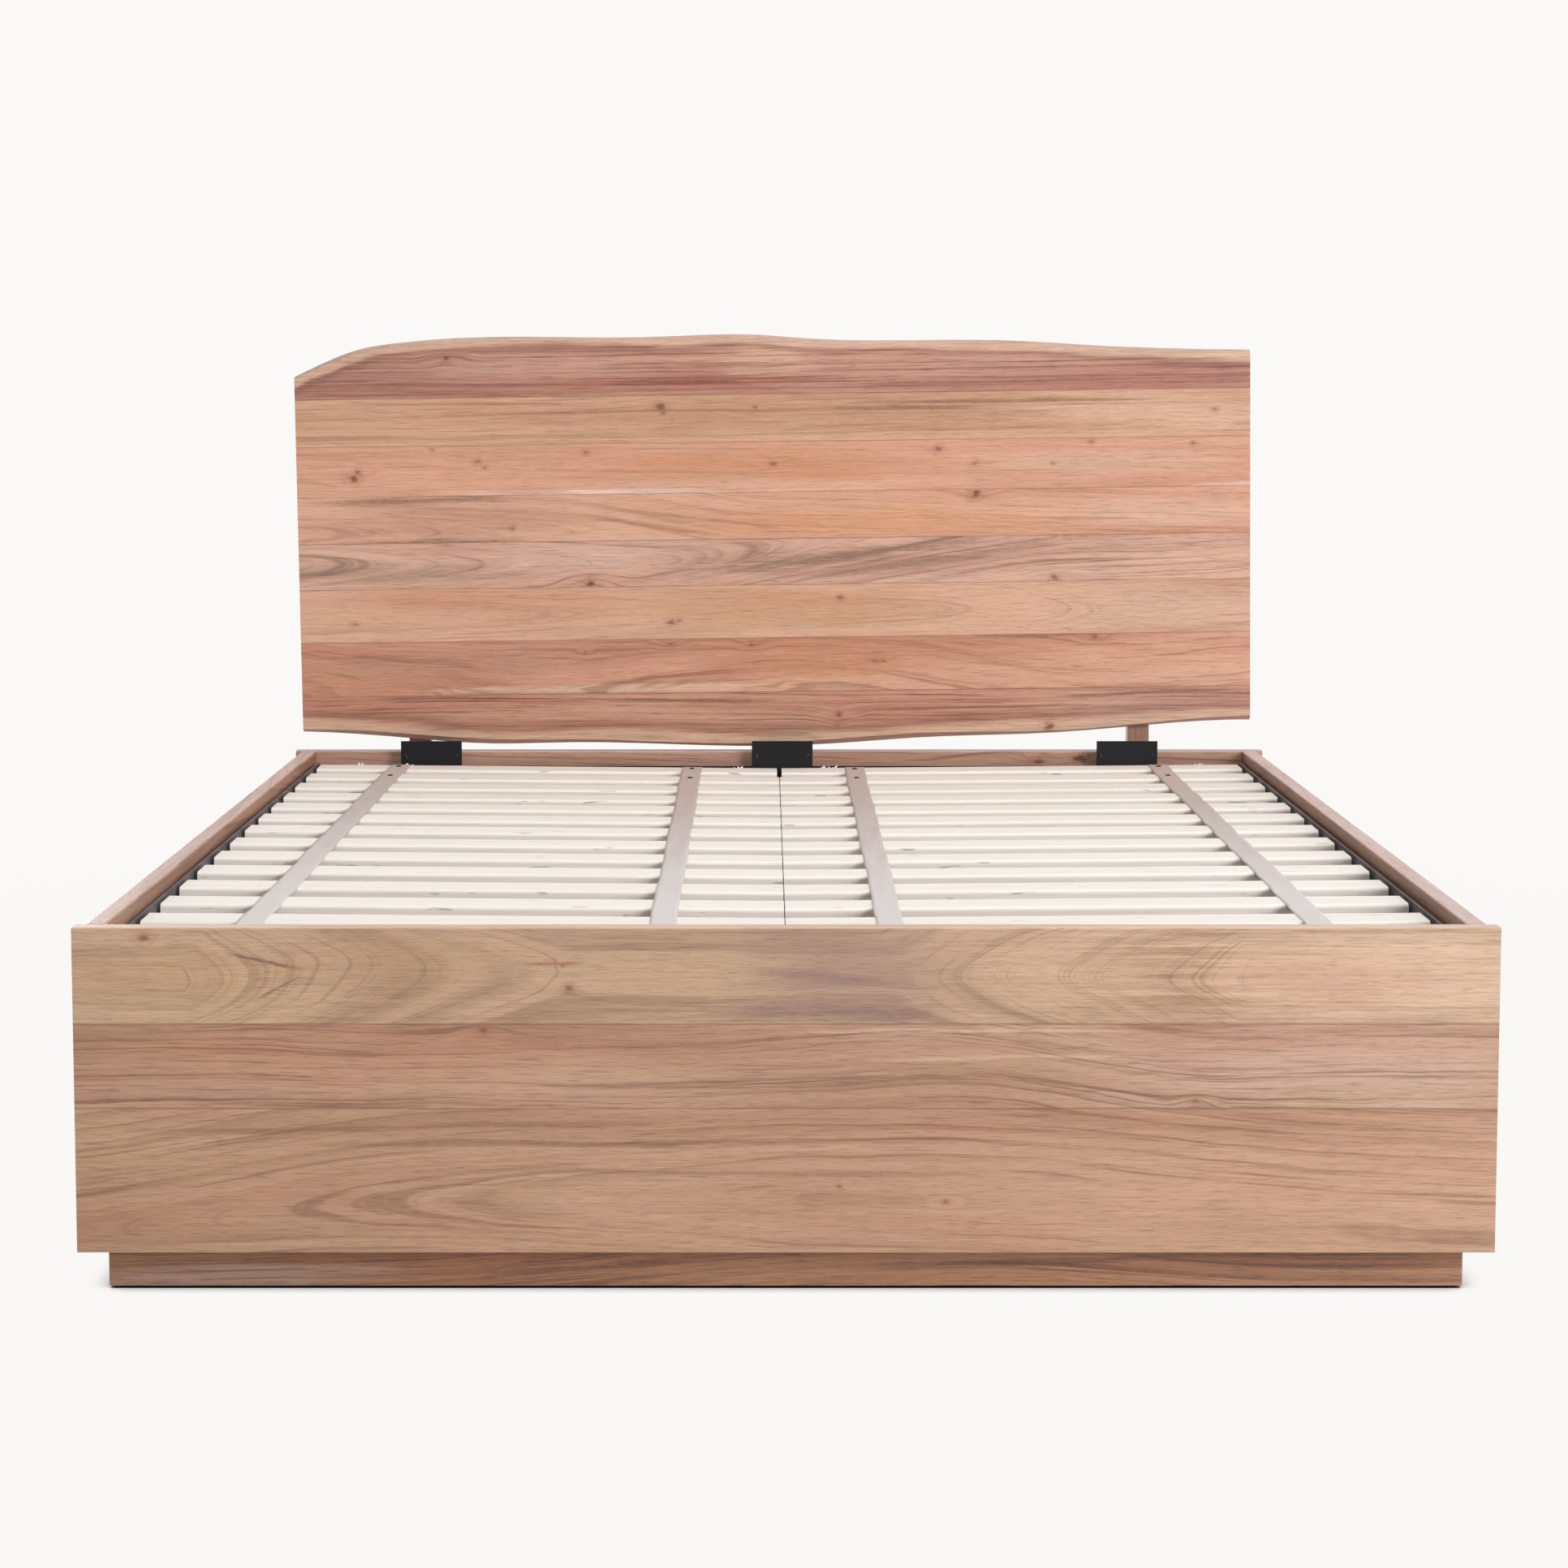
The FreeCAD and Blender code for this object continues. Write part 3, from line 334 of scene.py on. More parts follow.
# Live edges, in shares of the sapwood's width and of the whole
SAPWOOD_STEP = (0.7, 1.2)
SAPWOOD_SHARE = 0.75
SAPWOOD_BRIGHT = 0.92
RIM_RISE = (0.9, 1.2)
RIM_FALL = (1.2, 1.9)
RIM_SHARE = 0.4
WANE_STEP = (0.25, 0.8)
WANE_SHARE = 0.6

# Colours that several planks share
SAPWOOD = (234, 196, 168)
# Painted shade of the live edge's bevel
WANE_SHADE = (168, 138, 130)
MAUVE = (150, 112, 104)
REDDISH = (180, 106, 84)
OLIVE = (186, 158, 116)
VEIN = (126, 86, 66)
CRACK = (112, 74, 58)
KNOT_HALO = (170, 104, 80)
KNOT_HEART = (98, 52, 42)


class Wood(Surface):
    """Sawn hardwood under construction: a colour that each call paints over."""

    def __init__(self, name, axes, tones, seed, lean):
        super().__init__(name)
        self.seed = seed
        self.lean = lean
        self.u, across, self.w = self.place(axes)
        self.v = across - self.u * lean
        self.dark, self.middle, self.pale = [srgb(*tone) for tone in tones]
        self.slow = self.wave(SLOW)
        self.sway = self.wave(SWAY, shift=seed)
        self.strip = self.wave(STRIP, detail=3.0, rough=STRIP_ROUGH)
        self.hair = self.wave(HAIR, detail=3.0, rough=HAIR_ROUGH)
        self.ragged = self.wave(RAGGED)
        self.strength = self.grain(STRENGTH).step(*STRENGTH_STEP)
        self.colour = self.middle

    def grain(self, waves, detail=2.0, rough=0.5, times=1.0, shift=0.0):
        """Noise drawn out along the grain."""
        along, across = waves
        start = self.seed * times
        return self.noise(self.u * along + start, self.v * across + shift, self.w * across, detail, rough)

    def wave(self, waves, **kind):
        """The same noise, swinging round 0."""
        return self.grain(waves, **kind) - NOISE_MIDDLE

    def blend(self, **shares):
        """A sum of the grain patterns in the shares asked for."""
        return sum(getattr(self, pattern) * share for pattern, share in shares.items())

    def far(self, along, across, reach):
        """Distance from the middle of an oval on the face, 1 at its rim."""
        level = across - along * self.lean
        return ((self.u - along) / reach[0]).length((self.v - level) / reach[1])

    def paint(self, share, colour):
        self.colour = self.mix(share, self.colour, colour)

    def bend_rings(self, pith, taper, waver, waist, climbs, bulges, knots):
        """Distance from the pith line, bent by taper, waist, climbs, bulges and knots."""
        level = self.v
        for begin, stop, rise in climbs:
            level = level - self.u.step(begin, stop) * rise
        side = level - pith[0] + self.slow * waver + self.sway * (waver * SWAY_SHARE)
        rings = side.length(self.w - pith[1]) + self.u * taper
        if waist:
            middle, plain, reach, slope = waist
            run = (self.u - middle + self.slow * WAIST_WANDER).size() - plain
            rings = rings - run.top(0.0).low(reach) * slope
        for along, across, reach_along, reach_across, height in bulges:
            far = self.far(along, across, (reach_along, reach_across)) + self.sway * BULGE_WANDER
            rings = rings + (1.0 - far.step(0.0, 1.0)) * height
        for along, across, radius in knots:
            far = self.far(along, across, (radius * KNOT_REACH_ALONG, radius * KNOT_REACH_ACROSS))
            far = far + self.sway * KNOT_WANDER
            rings = rings + (1.0 - far.step(0.0, 1.0)) * (radius * KNOT_PULL)
        return rings

    def paint_rings(self, rings, lines, contrast, edge):
        """Pale and middle tones in broad bands, then the dark late wood and its thin rim."""
        uneven = self.noise(rings * (lines * UNEVEN_RINGS) + self.seed, self.u * UNEVEN_ALONG)
        order = rings * lines + uneven * UNEVEN_AMOUNT
        turn = order.part()
        each = self.chance(order.whole() + self.seed)
        drop = SOFT_DROP + CRISP_DROP * edge
        late = turn.step(LATE_START, drop) * (1.0 - turn.step(drop, 1.0))
        crisp = turn.step(*CRISP_RISE) * (1.0 - turn.step(*CRISP_FALL)) * each.step(*CRISP_CHANCE)
        broad = self.noise(rings * (lines * BROAD_RINGS) + self.seed, self.u * BROAD_ALONG)
        self.paint(broad.step(*BROAD_STEP), self.pale)
        local = self.strength * STRENGTH_SHARE + (1 - STRENGTH_SHARE)
        self.paint(late * (each * LATE_CHANCE + LATE_LEAST) * local * (contrast * LATE_SHARE), self.dark)
        self.paint(crisp * local * (1.0 + self.ragged) * (contrast * edge), self.dark)

    def paint_patches(self, patches):
        for along, across, reach_along, reach_across, tint, share in patches:
            far = self.far(along, across, (reach_along, reach_across))
            near = (1.0 - far + self.blend(strip=1.5, hair=0.9, sway=0.5)).step(*PATCH_STEP)
            self.paint(near * share, srgb(*tint))

    def paint_hues(self):
        """Slow drifts towards red and towards olive."""
        mood = self.grain(MOOD, detail=3.0, times=MOOD_SEED)
        self.paint(mood.step(*REDDISH_STEP) * REDDISH_SHARE, srgb(*REDDISH))
        self.paint((1.0 - mood.step(*OLIVE_STEP)) * OLIVE_SHARE, srgb(*OLIVE))

    def paint_threads(self, rings, fine):
        """Thin dark and pale fibres that follow the rings."""
        along, through, deep = THREAD
        thread = self.noise(self.u * along + self.seed, rings * through, self.w * deep, detail=4.0,
                            rough=THREAD_ROUGH)
        self.paint(thread.step(*DARK_THREAD_STEP) * (fine * DARK_THREAD_SHARE), self.dark)
        self.paint((1.0 - thread.step(*PALE_THREAD_STEP)) * (fine * PALE_THREAD_SHARE), self.pale)

    def paint_streaks(self, streaks):
        for start, end, half, tint, share in streaks:
            length = end[0] - start[0]
            slope = (end[1] - start[1]) / length - self.lean
            line = (self.u - start[0]) * slope + (start[1] - start[0] * self.lean)
            off = (self.v - line + self.blend(slow=0.01, sway=0.008)).size() / half
            inside = ((self.u - (start[0] + end[0]) / 2) / (length / 2)).size() + self.blend(strip=0.8)
            near = (1.0 - off + self.blend(strip=1.4, hair=2.2)).step(*STREAK_STEP)
            near = near * (1.0 - inside.step(*STREAK_END_STEP))
            self.paint(near * (1.0 + self.ragged * STREAK_RAGGED) * share, srgb(*tint))

    def paint_live_edge(self, points, seam, reach, middle, width, sapwood):
        """Pale sapwood along the edge that follows the tree, a dark rim inside it, and painted shade on the
        bevel.
        """
        outward = 1.0 if reach > 0 else -1.0
        share = self.curve((self.u - (middle - width / 2)) / width, points)
        below = (seam - self.v + share * reach) * outward
        below = below + self.blend(strip=0.016, hair=0.01, sway=0.02, slow=0.02)

        def rise(limits):
            return below.step(*[sapwood * limit for limit in limits])

        pale = self.brighten(srgb(*SAPWOOD)[:3], SAPWOOD_BRIGHT + self.blend(strip=0.4, hair=0.5))
        self.paint((1.0 - rise(SAPWOOD_STEP)) * SAPWOOD_SHARE, pale)
        self.paint(rise(RIM_RISE) * (1.0 - rise(RIM_FALL)) * RIM_SHARE, self.dark)
        # Painted shade: the bevel's faces take the greyish mauve it shows in shadow
        self.paint((self.facing() * outward).step(*WANE_STEP) * WANE_SHARE, srgb(*WANE_SHADE))

    def paint_knots(self, knots):
        for along, across, radius in knots:
            far = self.far(along, across, (radius * KNOT_LONG, radius)) + self.blend(ragged=1.6, strip=0.6)
            heart = KNOT_HEART_LEAST + radius * KNOT_HEART_GAIN
            self.paint((1.0 - far.step(*KNOT_HALO_STEP)) * KNOT_HALO_SHARE, srgb(*KNOT_HALO))
            self.paint((1.0 - far.step(*KNOT_HEART_STEP)) * heart, srgb(*KNOT_HEART))

    def paint_faces(self, painted_top_sheen, seams, painted_side_shade):
        """Painted sheen on faces that look up, painted shade on those facing one way along X, and glued
        joints' thin lines.
        """
        if painted_top_sheen:
            # Painted sheen: faces that look up turn paler, standing for the pale room they mirror
            tint, share = painted_top_sheen
            streaky = (UPWARD_BASE + self.blend(strip=0.7, sway=0.6, hair=0.4)) * share
            self.paint(self.facing().step(*UPWARD_STEP) * streaky, srgb(*tint))
        for level in seams:
            near = 1.0 - ((self.v - level).size() / SEAM_HALF).step(*SEAM_STEP)
            self.paint(near * (self.strength * SEAM_STRENGTH + SEAM_LEAST), self.dark)
        if painted_side_shade:
            # Painted shade: faces that look one way along X turn darker
            tint, share, way = painted_side_shade
            self.paint((self.facing("X") * way).step(*SIDEWAYS_STEP) * share, srgb(*tint))

    def coat(self, fine, rough, gloss, relief):
        """Pores and fibres in shade, roughness and relief."""
        dashes = self.grain(DASHES).step(*DASH_STEP)
        pores = self.grain(PORES, detail=1.0).step(*PORE_STEP)
        along, across = FLAME
        bent = self.v * across + self.slow * FLAME_BEND
        flame = self.noise(self.u * along + self.seed, bent) - NOISE_MIDDLE
        shade = 1.0 + self.blend(hair=0.42, strip=0.16) + flame * FLAME_SHADE
        shade = shade - pores * PORE_SHADE - dashes * (fine * DASH_SHADE)
        roughness = rough + self.hair * HAIR_MATT + pores * PORE_MATT
        height = self.hair - pores * PORE_DEPTH - dashes * DASH_DEPTH
        return self.finish(self.brighten(self.colour, shade), roughness, height, relief,
                           Specular_IOR_Level=gloss)


def wood(node, axes, tones, seed, pith=(0.06, 0.09), taper=0.05, waist=None, climbs=(), lines=75.0,
         contrast=0.6, fine=0.5, lean=0.0, waver=0.016, bulges=(), patches=(), streaks=(), knots=(),
         live=None, painted_top_sheen=None, painted_side_shade=None, seams=(), rough=0.46, gloss=0.5, relief=0.0004, edge=0.9):
    """Sawn hardwood on one node: growth rings round a pith line, crossed by fibres and pores.

    Axes are the grain's direction, the one across the face and the depth; tones are dark, middle and pale.
    Taper draws the rings out into arches, and a waist turns them to point at a plain stretch. Climbs are
    stretches where the grain rises, bulges bend the rings, patches tint ovals, streaks are bands along the
    grain, and knots are dark eyes. Live is an edge that follows the tree. The top sheen is a painted sheen
    that pales the faces that look up; the side shade is painted shade on those that look one way along X.
    Seams are the levels of glued joints.
    """
    s = Wood(node + "_wood", axes, tones, seed, lean)
    rings = s.bend_rings(pith, taper, waver, waist, climbs, bulges, knots)
    s.paint_rings(rings, lines, contrast, edge)
    s.paint_patches(patches)
    s.paint_hues()
    s.paint_threads(rings, fine)
    s.paint_streaks(streaks)
    if live:
        s.paint_live_edge(*live)
    s.paint_knots(knots)
    s.paint_faces(painted_top_sheen, seams, painted_side_shade)
    dress(node, s.coat(fine, rough, gloss, relief))


def dress(node, material):
    """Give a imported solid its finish."""
    solid = nodes[node]
    solid.data.materials.clear()
    solid.data.materials.append(material)


def glued_edges(node, lean, low=True, high=True):
    """Levels of a plank's glued edges, read from the solid along its lean."""
    levels = [vertex.co.z - vertex.co.x * lean for vertex in nodes[node].data.vertices]
    return [min(levels)] * low + [max(levels)] * high


# Headboard planks, from the top down: each has its own tones, then its own marks
HEADBOARD_PLANKS = 8
PANEL_SEED = 3.7
PANEL_LEAN = 0.0131
PANEL_MIDDLE = -0.008
PANEL_WIDTH = 1.57
TOP_SEAM = 1.0101
TOP_REACH = 0.1017
BOTTOM_SEAM = 0.5206
BOTTOM_REACH = -0.0965
TOP_EDGE = ((0, 0.388), (0.035, 0.643), (0.07, 0.837), (0.105, 0.923), (0.175, 1), (0.375, 0.974),
            (0.475, 0.995), (0.545, 0.908), (0.75, 0.837), (0.85, 0.724), (1, 0.633))
BOTTOM_EDGE = ((0, 0.626), (0.105, 0.758), (0.2, 0.89), (0.28, 0.885), (0.49, 1), (0.585, 0.945),
               (0.65, 0.879), (0.79, 0.824), (0.86, 0.747), (1, 0.632))
TOP_SAPWOOD = 0.018
BOTTOM_SAPWOOD = 0.027


def headboard():
    def plank(number, tones, **marks):
        node = f"headboard_plank_{number}"
        seams = glued_edges(node, PANEL_LEAN, low=number < HEADBOARD_PLANKS, high=number > 1)
        wood(node, "xzy", tones, seed=number * PANEL_SEED, lean=PANEL_LEAN, seams=seams, **marks)

    plank(1, ((125, 71, 58), (181, 123, 105), (212, 160, 139)),
          pith=(1.35, 0.95), lines=80.0, contrast=0.7, fine=0.95, taper=0.004,
          live=(TOP_EDGE, TOP_SEAM, TOP_REACH, PANEL_MIDDLE, PANEL_WIDTH, TOP_SAPWOOD),
          patches=((-0.66, 1.03, 0.24, 0.05, MAUVE, 0.4), (-0.4, 1.052, 0.26, 0.024, (208, 164, 144), 0.6),
                   (-0.13, 1.03, 0.24, 0.014, REDDISH, 0.5), (-0.02, 1.062, 0.1, 0.03, SAPWOOD, 0.45),
                   (0.45, 1.03, 0.5, 0.016, (172, 112, 98), 0.5),
                   (0.5, 1.064, 0.5, 0.008, (210, 168, 146), 0.5)),
          streaks=(((-0.3, 1.03), (-0.04, 1.032), 0.004, (112, 62, 52), 0.55),
                   ((0.05, 1.026), (0.6, 1.034), 0.004, (118, 68, 58), 0.55),
                   ((-0.74, 1.02), (-0.34, 1.024), 0.004, (118, 74, 66), 0.45)),
          knots=((-0.545, 1.068, 0.007),))
    plank(2, ((144, 99, 72), (207, 157, 125), (222, 174, 143)),
          pith=(1.2, 0.9), lines=62.0, contrast=0.45, fine=0.55, taper=0.006,
          streaks=(((-0.6, 0.978), (0.2, 0.985), 0.004, VEIN, 0.45),
                   ((0.1, 0.996), (0.62, 1.002), 0.005, VEIN, 0.6),
                   ((0.02, 0.986), (0.44, 0.99), 0.005, VEIN, 0.6),
                   ((-0.74, 0.992), (-0.3, 0.996), 0.004, VEIN, 0.4)),
          patches=((0.62, 0.985, 0.3, 0.035, (230, 190, 166), 0.6),),
          knots=((-0.194, 0.989, 0.007), (-0.19, 0.978, 0.004), (-0.04, 0.988, 0.004),
                 (0.715, 0.985, 0.004)))
    plank(3, ((175, 111, 82), (218, 159, 131), (234, 182, 155)),
          pith=(0.6, 0.9), lines=46.0, contrast=0.35, fine=0.4, taper=0.012,
          patches=((0.0, 0.9, 0.34, 0.036, (214, 146, 106), 0.65),
                   (-0.5, 0.88, 0.3, 0.03, (228, 170, 140), 0.4),
                   (0.55, 0.9, 0.3, 0.03, (226, 184, 162), 0.5),
                   (-0.3, 0.846, 0.34, 0.011, (246, 220, 206), 0.9),
                   (0.76, 0.86, 0.12, 0.007, (240, 214, 200), 0.6)),
          knots=((-0.7, 0.871, 0.008), (-0.694, 0.882, 0.005), (-0.495, 0.9, 0.005),
                 (-0.484, 0.889, 0.003), (-0.318, 0.914, 0.004), (-0.57, 0.918, 0.003),
                 (-0.01, 0.896, 0.005), (0.26, 0.92, 0.006), (0.32, 0.897, 0.005),
                 (0.45, 0.897, 0.003), (0.512, 0.932, 0.0035), (0.68, 0.93, 0.004)))
    plank(4, ((150, 93, 70), (218, 160, 130), (234, 184, 157)),
          pith=(0.79, 0.97), lines=52.0, contrast=0.5, fine=0.45, taper=0.035,
          climbs=((-0.4, 0.0, -0.05),),
          patches=((-0.5, 0.8, 0.24, 0.04, (184, 132, 108), 0.5),
                   (0.16, 0.8, 0.42, 0.034, (232, 168, 126), 0.6),
                   (0.62, 0.81, 0.24, 0.03, (228, 188, 166), 0.5)),
          streaks=(((-0.8, 0.83), (-0.4, 0.838), 0.009, VEIN, 0.6),
                   ((-0.74, 0.764), (-0.38, 0.77), 0.009, VEIN, 0.6),
                   ((-0.36, 0.815), (-0.08, 0.775), 0.006, (160, 98, 76), 0.5),
                   ((-0.3, 0.825), (0.04, 0.785), 0.005, (168, 106, 82), 0.45)),
          knots=((0.325, 0.846, 0.009), (-0.44, 0.79, 0.004)))
    plank(5, ((130, 95, 76), (218, 169, 147), (236, 194, 173)),
          pith=(0.735, 0.955), lines=60.0, contrast=0.75, fine=0.8, taper=0.04, waver=0.03,
          climbs=((-0.3, 0.5, 0.075),),
          patches=((-0.64, 0.715, 0.3, 0.026, (152, 124, 104), 0.5),
                   (-0.3, 0.75, 0.26, 0.03, (222, 186, 172), 0.6),
                   (0.12, 0.735, 0.36, 0.03, (158, 120, 100), 0.45),
                   (0.62, 0.735, 0.24, 0.035, (226, 184, 158), 0.6)),
          streaks=(((-0.2, 0.708), (0.44, 0.785), 0.014, (128, 94, 76), 0.6),
                   ((-0.02, 0.7), (0.5, 0.77), 0.01, (140, 104, 86), 0.5)),
          knots=((-0.31, 0.699, 0.009), (0.472, 0.782, 0.004), (0.454, 0.709, 0.006)))
    plank(6, ((152, 107, 82), (214, 162, 133), (230, 182, 155)),
          pith=(0.655, 0.98), lines=48.0, contrast=0.5, fine=0.45, taper=0.03, waver=0.014,
          bulges=((0.74, 0.66, 0.5, 0.13, 0.04),),
          patches=((-0.5, 0.67, 0.35, 0.034, (216, 154, 118), 0.5),
                   (0.02, 0.66, 0.34, 0.045, (208, 152, 110), 0.6),
                   (0.64, 0.66, 0.26, 0.05, (216, 182, 160), 0.55)),
          knots=((-0.7, 0.632, 0.004), (-0.178, 0.635, 0.005), (-0.164, 0.638, 0.003),
                 (0.1, 0.676, 0.005)))
    plank(7, ((144, 87, 66), (206, 145, 117), (228, 174, 147)),
          pith=(0.52, 0.94), lines=54.0, contrast=0.65, fine=0.65, taper=0.02, waver=0.012,
          bulges=((-0.5, 0.52, 0.8, 0.13, 0.035), (0.5, 0.56, 0.6, 0.1, 0.03)),
          patches=((-0.46, 0.575, 0.4, 0.04, (200, 148, 130), 0.55),
                   (0.55, 0.56, 0.34, 0.045, (228, 178, 148), 0.55),
                   (0.06, 0.575, 0.26, 0.045, (202, 136, 98), 0.6),
                   (-0.32, 0.526, 0.36, 0.011, (230, 194, 170), 0.8)),
          streaks=(((0.28, 0.61), (0.58, 0.618), 0.005, VEIN, 0.5),),
          knots=((-0.18, 0.6, 0.005), (-0.045, 0.598, 0.005), (0.158, 0.572, 0.005),
                 (0.173, 0.571, 0.003), (0.521, 0.612, 0.005), (-0.32, 0.585, 0.003)))
    plank(8, ((119, 69, 52), (189, 130, 107), (218, 166, 141)),
          pith=(0.2, 0.95), lines=76.0, contrast=0.8, fine=0.95, taper=0.004,
          live=(BOTTOM_EDGE, BOTTOM_SEAM, BOTTOM_REACH, PANEL_MIDDLE, PANEL_WIDTH, BOTTOM_SAPWOOD),
          patches=((0.05, 0.5, 0.4, 0.02, REDDISH, 0.45), (-0.5, 0.5, 0.34, 0.018, REDDISH, 0.4),
                   (0.62, 0.5, 0.22, 0.03, (204, 160, 146), 0.5)),
          streaks=(((-0.34, 0.505), (0.02, 0.504), 0.004, (108, 60, 46), 0.6),
                   ((0.4, 0.512), (0.78, 0.526), 0.004, (104, 72, 64), 0.65),
                   ((-0.7, 0.509), (-0.3, 0.506), 0.004, (122, 70, 54), 0.5),
                   ((0.05, 0.49), (0.5, 0.5), 0.004, (122, 72, 58), 0.5)),
          knots=((0.098, 0.482, 0.007), (0.097, 0.466, 0.004), (0.448, 0.463, 0.008)))


# Painted sheen that makes the faces that look up paler, for the pale room they mirror: tint and share
FOOT_TOP_SHEEN = ((232, 200, 182), 0.7)
RAIL_TOP_SHEEN = ((218, 198, 196), 0.75)


def footboard():
    def plank(place, tones, **marks):
        node = f"footboard_plank_{place}"
        seams = glued_edges(node, 0.0, low=place != "bottom", high=place != "top")
        wood(node, "xzy", tones, painted_top_sheen=FOOT_TOP_SHEEN, seams=seams, **marks)

    plank("top", ((116, 86, 64), (184, 148, 119), (208, 173, 145)), seed=41.0,
          pith=(0.366, -1.092), lines=30.0, contrast=0.95, edge=0.12, fine=0.42, taper=0.0, waver=0.03,
          waist=(-0.09, 0.2, 0.38, 0.33),
          patches=((0.03, 0.385, 0.12, 0.1, (164, 130, 117), 0.55),
                   (0.1, 0.345, 0.14, 0.1, (160, 126, 115), 0.55),
                   (0.32, 0.375, 0.16, 0.07, (214, 180, 152), 0.5),
                   (0.66, 0.37, 0.3, 0.1, (230, 194, 168), 0.5),
                   (-0.66, 0.355, 0.22, 0.06, (202, 168, 130), 0.6),
                   (-0.42, 0.39, 0.14, 0.03, (188, 154, 116), 0.5)),
          streaks=(((-0.12, 0.326), (0.2, 0.322), 0.009, (122, 94, 88), 0.5),
                   ((-0.06, 0.372), (0.16, 0.354), 0.008, (136, 106, 98), 0.45),
                   ((-0.3, 0.379), (-0.22, 0.38), 0.004, (160, 84, 70), 0.6),
                   ((-0.64, 0.396), (-0.53, 0.374), 0.003, CRACK, 0.7),
                   ((-0.6, 0.338), (-0.54, 0.37), 0.003, CRACK, 0.6)),
          knots=((-0.719, 0.411, 0.006), (-0.25, 0.379, 0.002), (-0.243, 0.354, 0.004)))
    plank("middle", ((118, 80, 62), (172, 128, 104), (196, 156, 130)), seed=53.0,
          pith=(0.6, -1.2), lines=56.0, contrast=0.65, fine=0.8, taper=0.008, waver=0.05,
          climbs=((0.15, 0.5, -0.045),),
          patches=((0.6, 0.265, 0.36, 0.06, (206, 172, 154), 0.55),
                   (0.1, 0.25, 0.34, 0.06, (160, 116, 92), 0.45),
                   (-0.55, 0.28, 0.4, 0.045, (198, 142, 114), 0.5)),
          streaks=(((-0.02, 0.303), (0.42, 0.306), 0.004, (222, 190, 164), 0.5),
                   ((0.06, 0.27), (0.42, 0.276), 0.004, (220, 186, 160), 0.5)),
          knots=((-0.34, 0.305, 0.005), (0.46, 0.225, 0.004)))
    plank("bottom", ((122, 84, 62), (182, 140, 112), (202, 162, 134)), seed=67.0,
          pith=(0.075, -1.125), lines=58.0, contrast=0.6, fine=0.65, taper=0.0, waver=0.03,
          waist=(1.0, 1.0, 1.0, -0.04), climbs=((-0.85, -0.4, 0.035), (0.1, 0.85, -0.05)),
          patches=((-0.2, 0.2, 0.7, 0.024, (160, 116, 92), 0.45),
                   (0.62, 0.13, 0.4, 0.08, (208, 164, 136), 0.45),
                   (0.6, 0.208, 0.34, 0.012, (186, 136, 110), 0.6)),
          streaks=(((-0.8, 0.19), (-0.1, 0.2), 0.005, VEIN, 0.5),
                   ((-0.6, 0.176), (0.1, 0.178), 0.005, VEIN, 0.5),
                   ((-0.4, 0.148), (0.3, 0.14), 0.005, VEIN, 0.4)),
          knots=((0.18, 0.11, 0.003), (0.06, 0.128, 0.003)))


# Tones of the other boards: dark, middle and pale
RAIL_TONES = ((112, 72, 56), (172, 126, 106), (198, 156, 136))
SIDE_RAIL_TONES = ((116, 80, 62), (176, 134, 110), (202, 162, 138))
PLINTH_TONES = ((84, 52, 38), (156, 110, 82), (184, 138, 108))
PINE_TONES = ((176, 132, 84), (216, 180, 132), (232, 204, 162))
PLY_TONES = ((186, 148, 104), (214, 184, 142), (226, 200, 164))
# Painted sheen on the side rails' tops and painted shade on their inner faces
SIDE_TOP_SHEEN = (212, 190, 188)
SIDE_INNER_SHADE = (122, 80, 66)

# Side rails: seed, the way the inner face looks along X, and shares of painted inner shade and painted top
# sheen
SIDE_RAILS = (("left", 5.0, 1, 0.35, 0.45), ("right", 19.0, -1, 0.6, 0.8))


def rails():
    """Side rails, with painted shade on their inner faces and a painted sheen on top, and the boards at the
    head.
    """
    for side, seed, way, inner_shade_share, top in SIDE_RAILS:
        wood(f"{side}_side_rail", "yzx", SIDE_RAIL_TONES, seed, pith=(0.27, -0.92 * way), lines=50.0,
             taper=0.03, fine=0.7, contrast=0.6, waver=0.04, gloss=0.2, relief=0.0001,
             climbs=((-0.7, 0.0, 0.03), (0.2, 0.9, -0.04)),
             knots=((-0.3 * way, 0.22, 0.006), (0.5 * way, 0.33, 0.005)),
             painted_top_sheen=(SIDE_TOP_SHEEN, top), painted_side_shade=(SIDE_INNER_SHADE, inner_shade_share, way))
        wood(f"{side}_headboard_post", "zxy", RAIL_TONES, seed, pith=(0.0, 0.95))
    wood("head_rail", "xzy", RAIL_TONES, 29.0, pith=(0.3, 0.9), taper=0.03, fine=0.8,
         climbs=((0.2, 0.5, 0.03),), patches=((0.3, 0.4, 0.3, 0.05, (206, 160, 128), 0.5),),
         knots=((0.5, 0.41, 0.012), (0.43, 0.405, 0.008)), painted_top_sheen=RAIL_TOP_SHEEN)


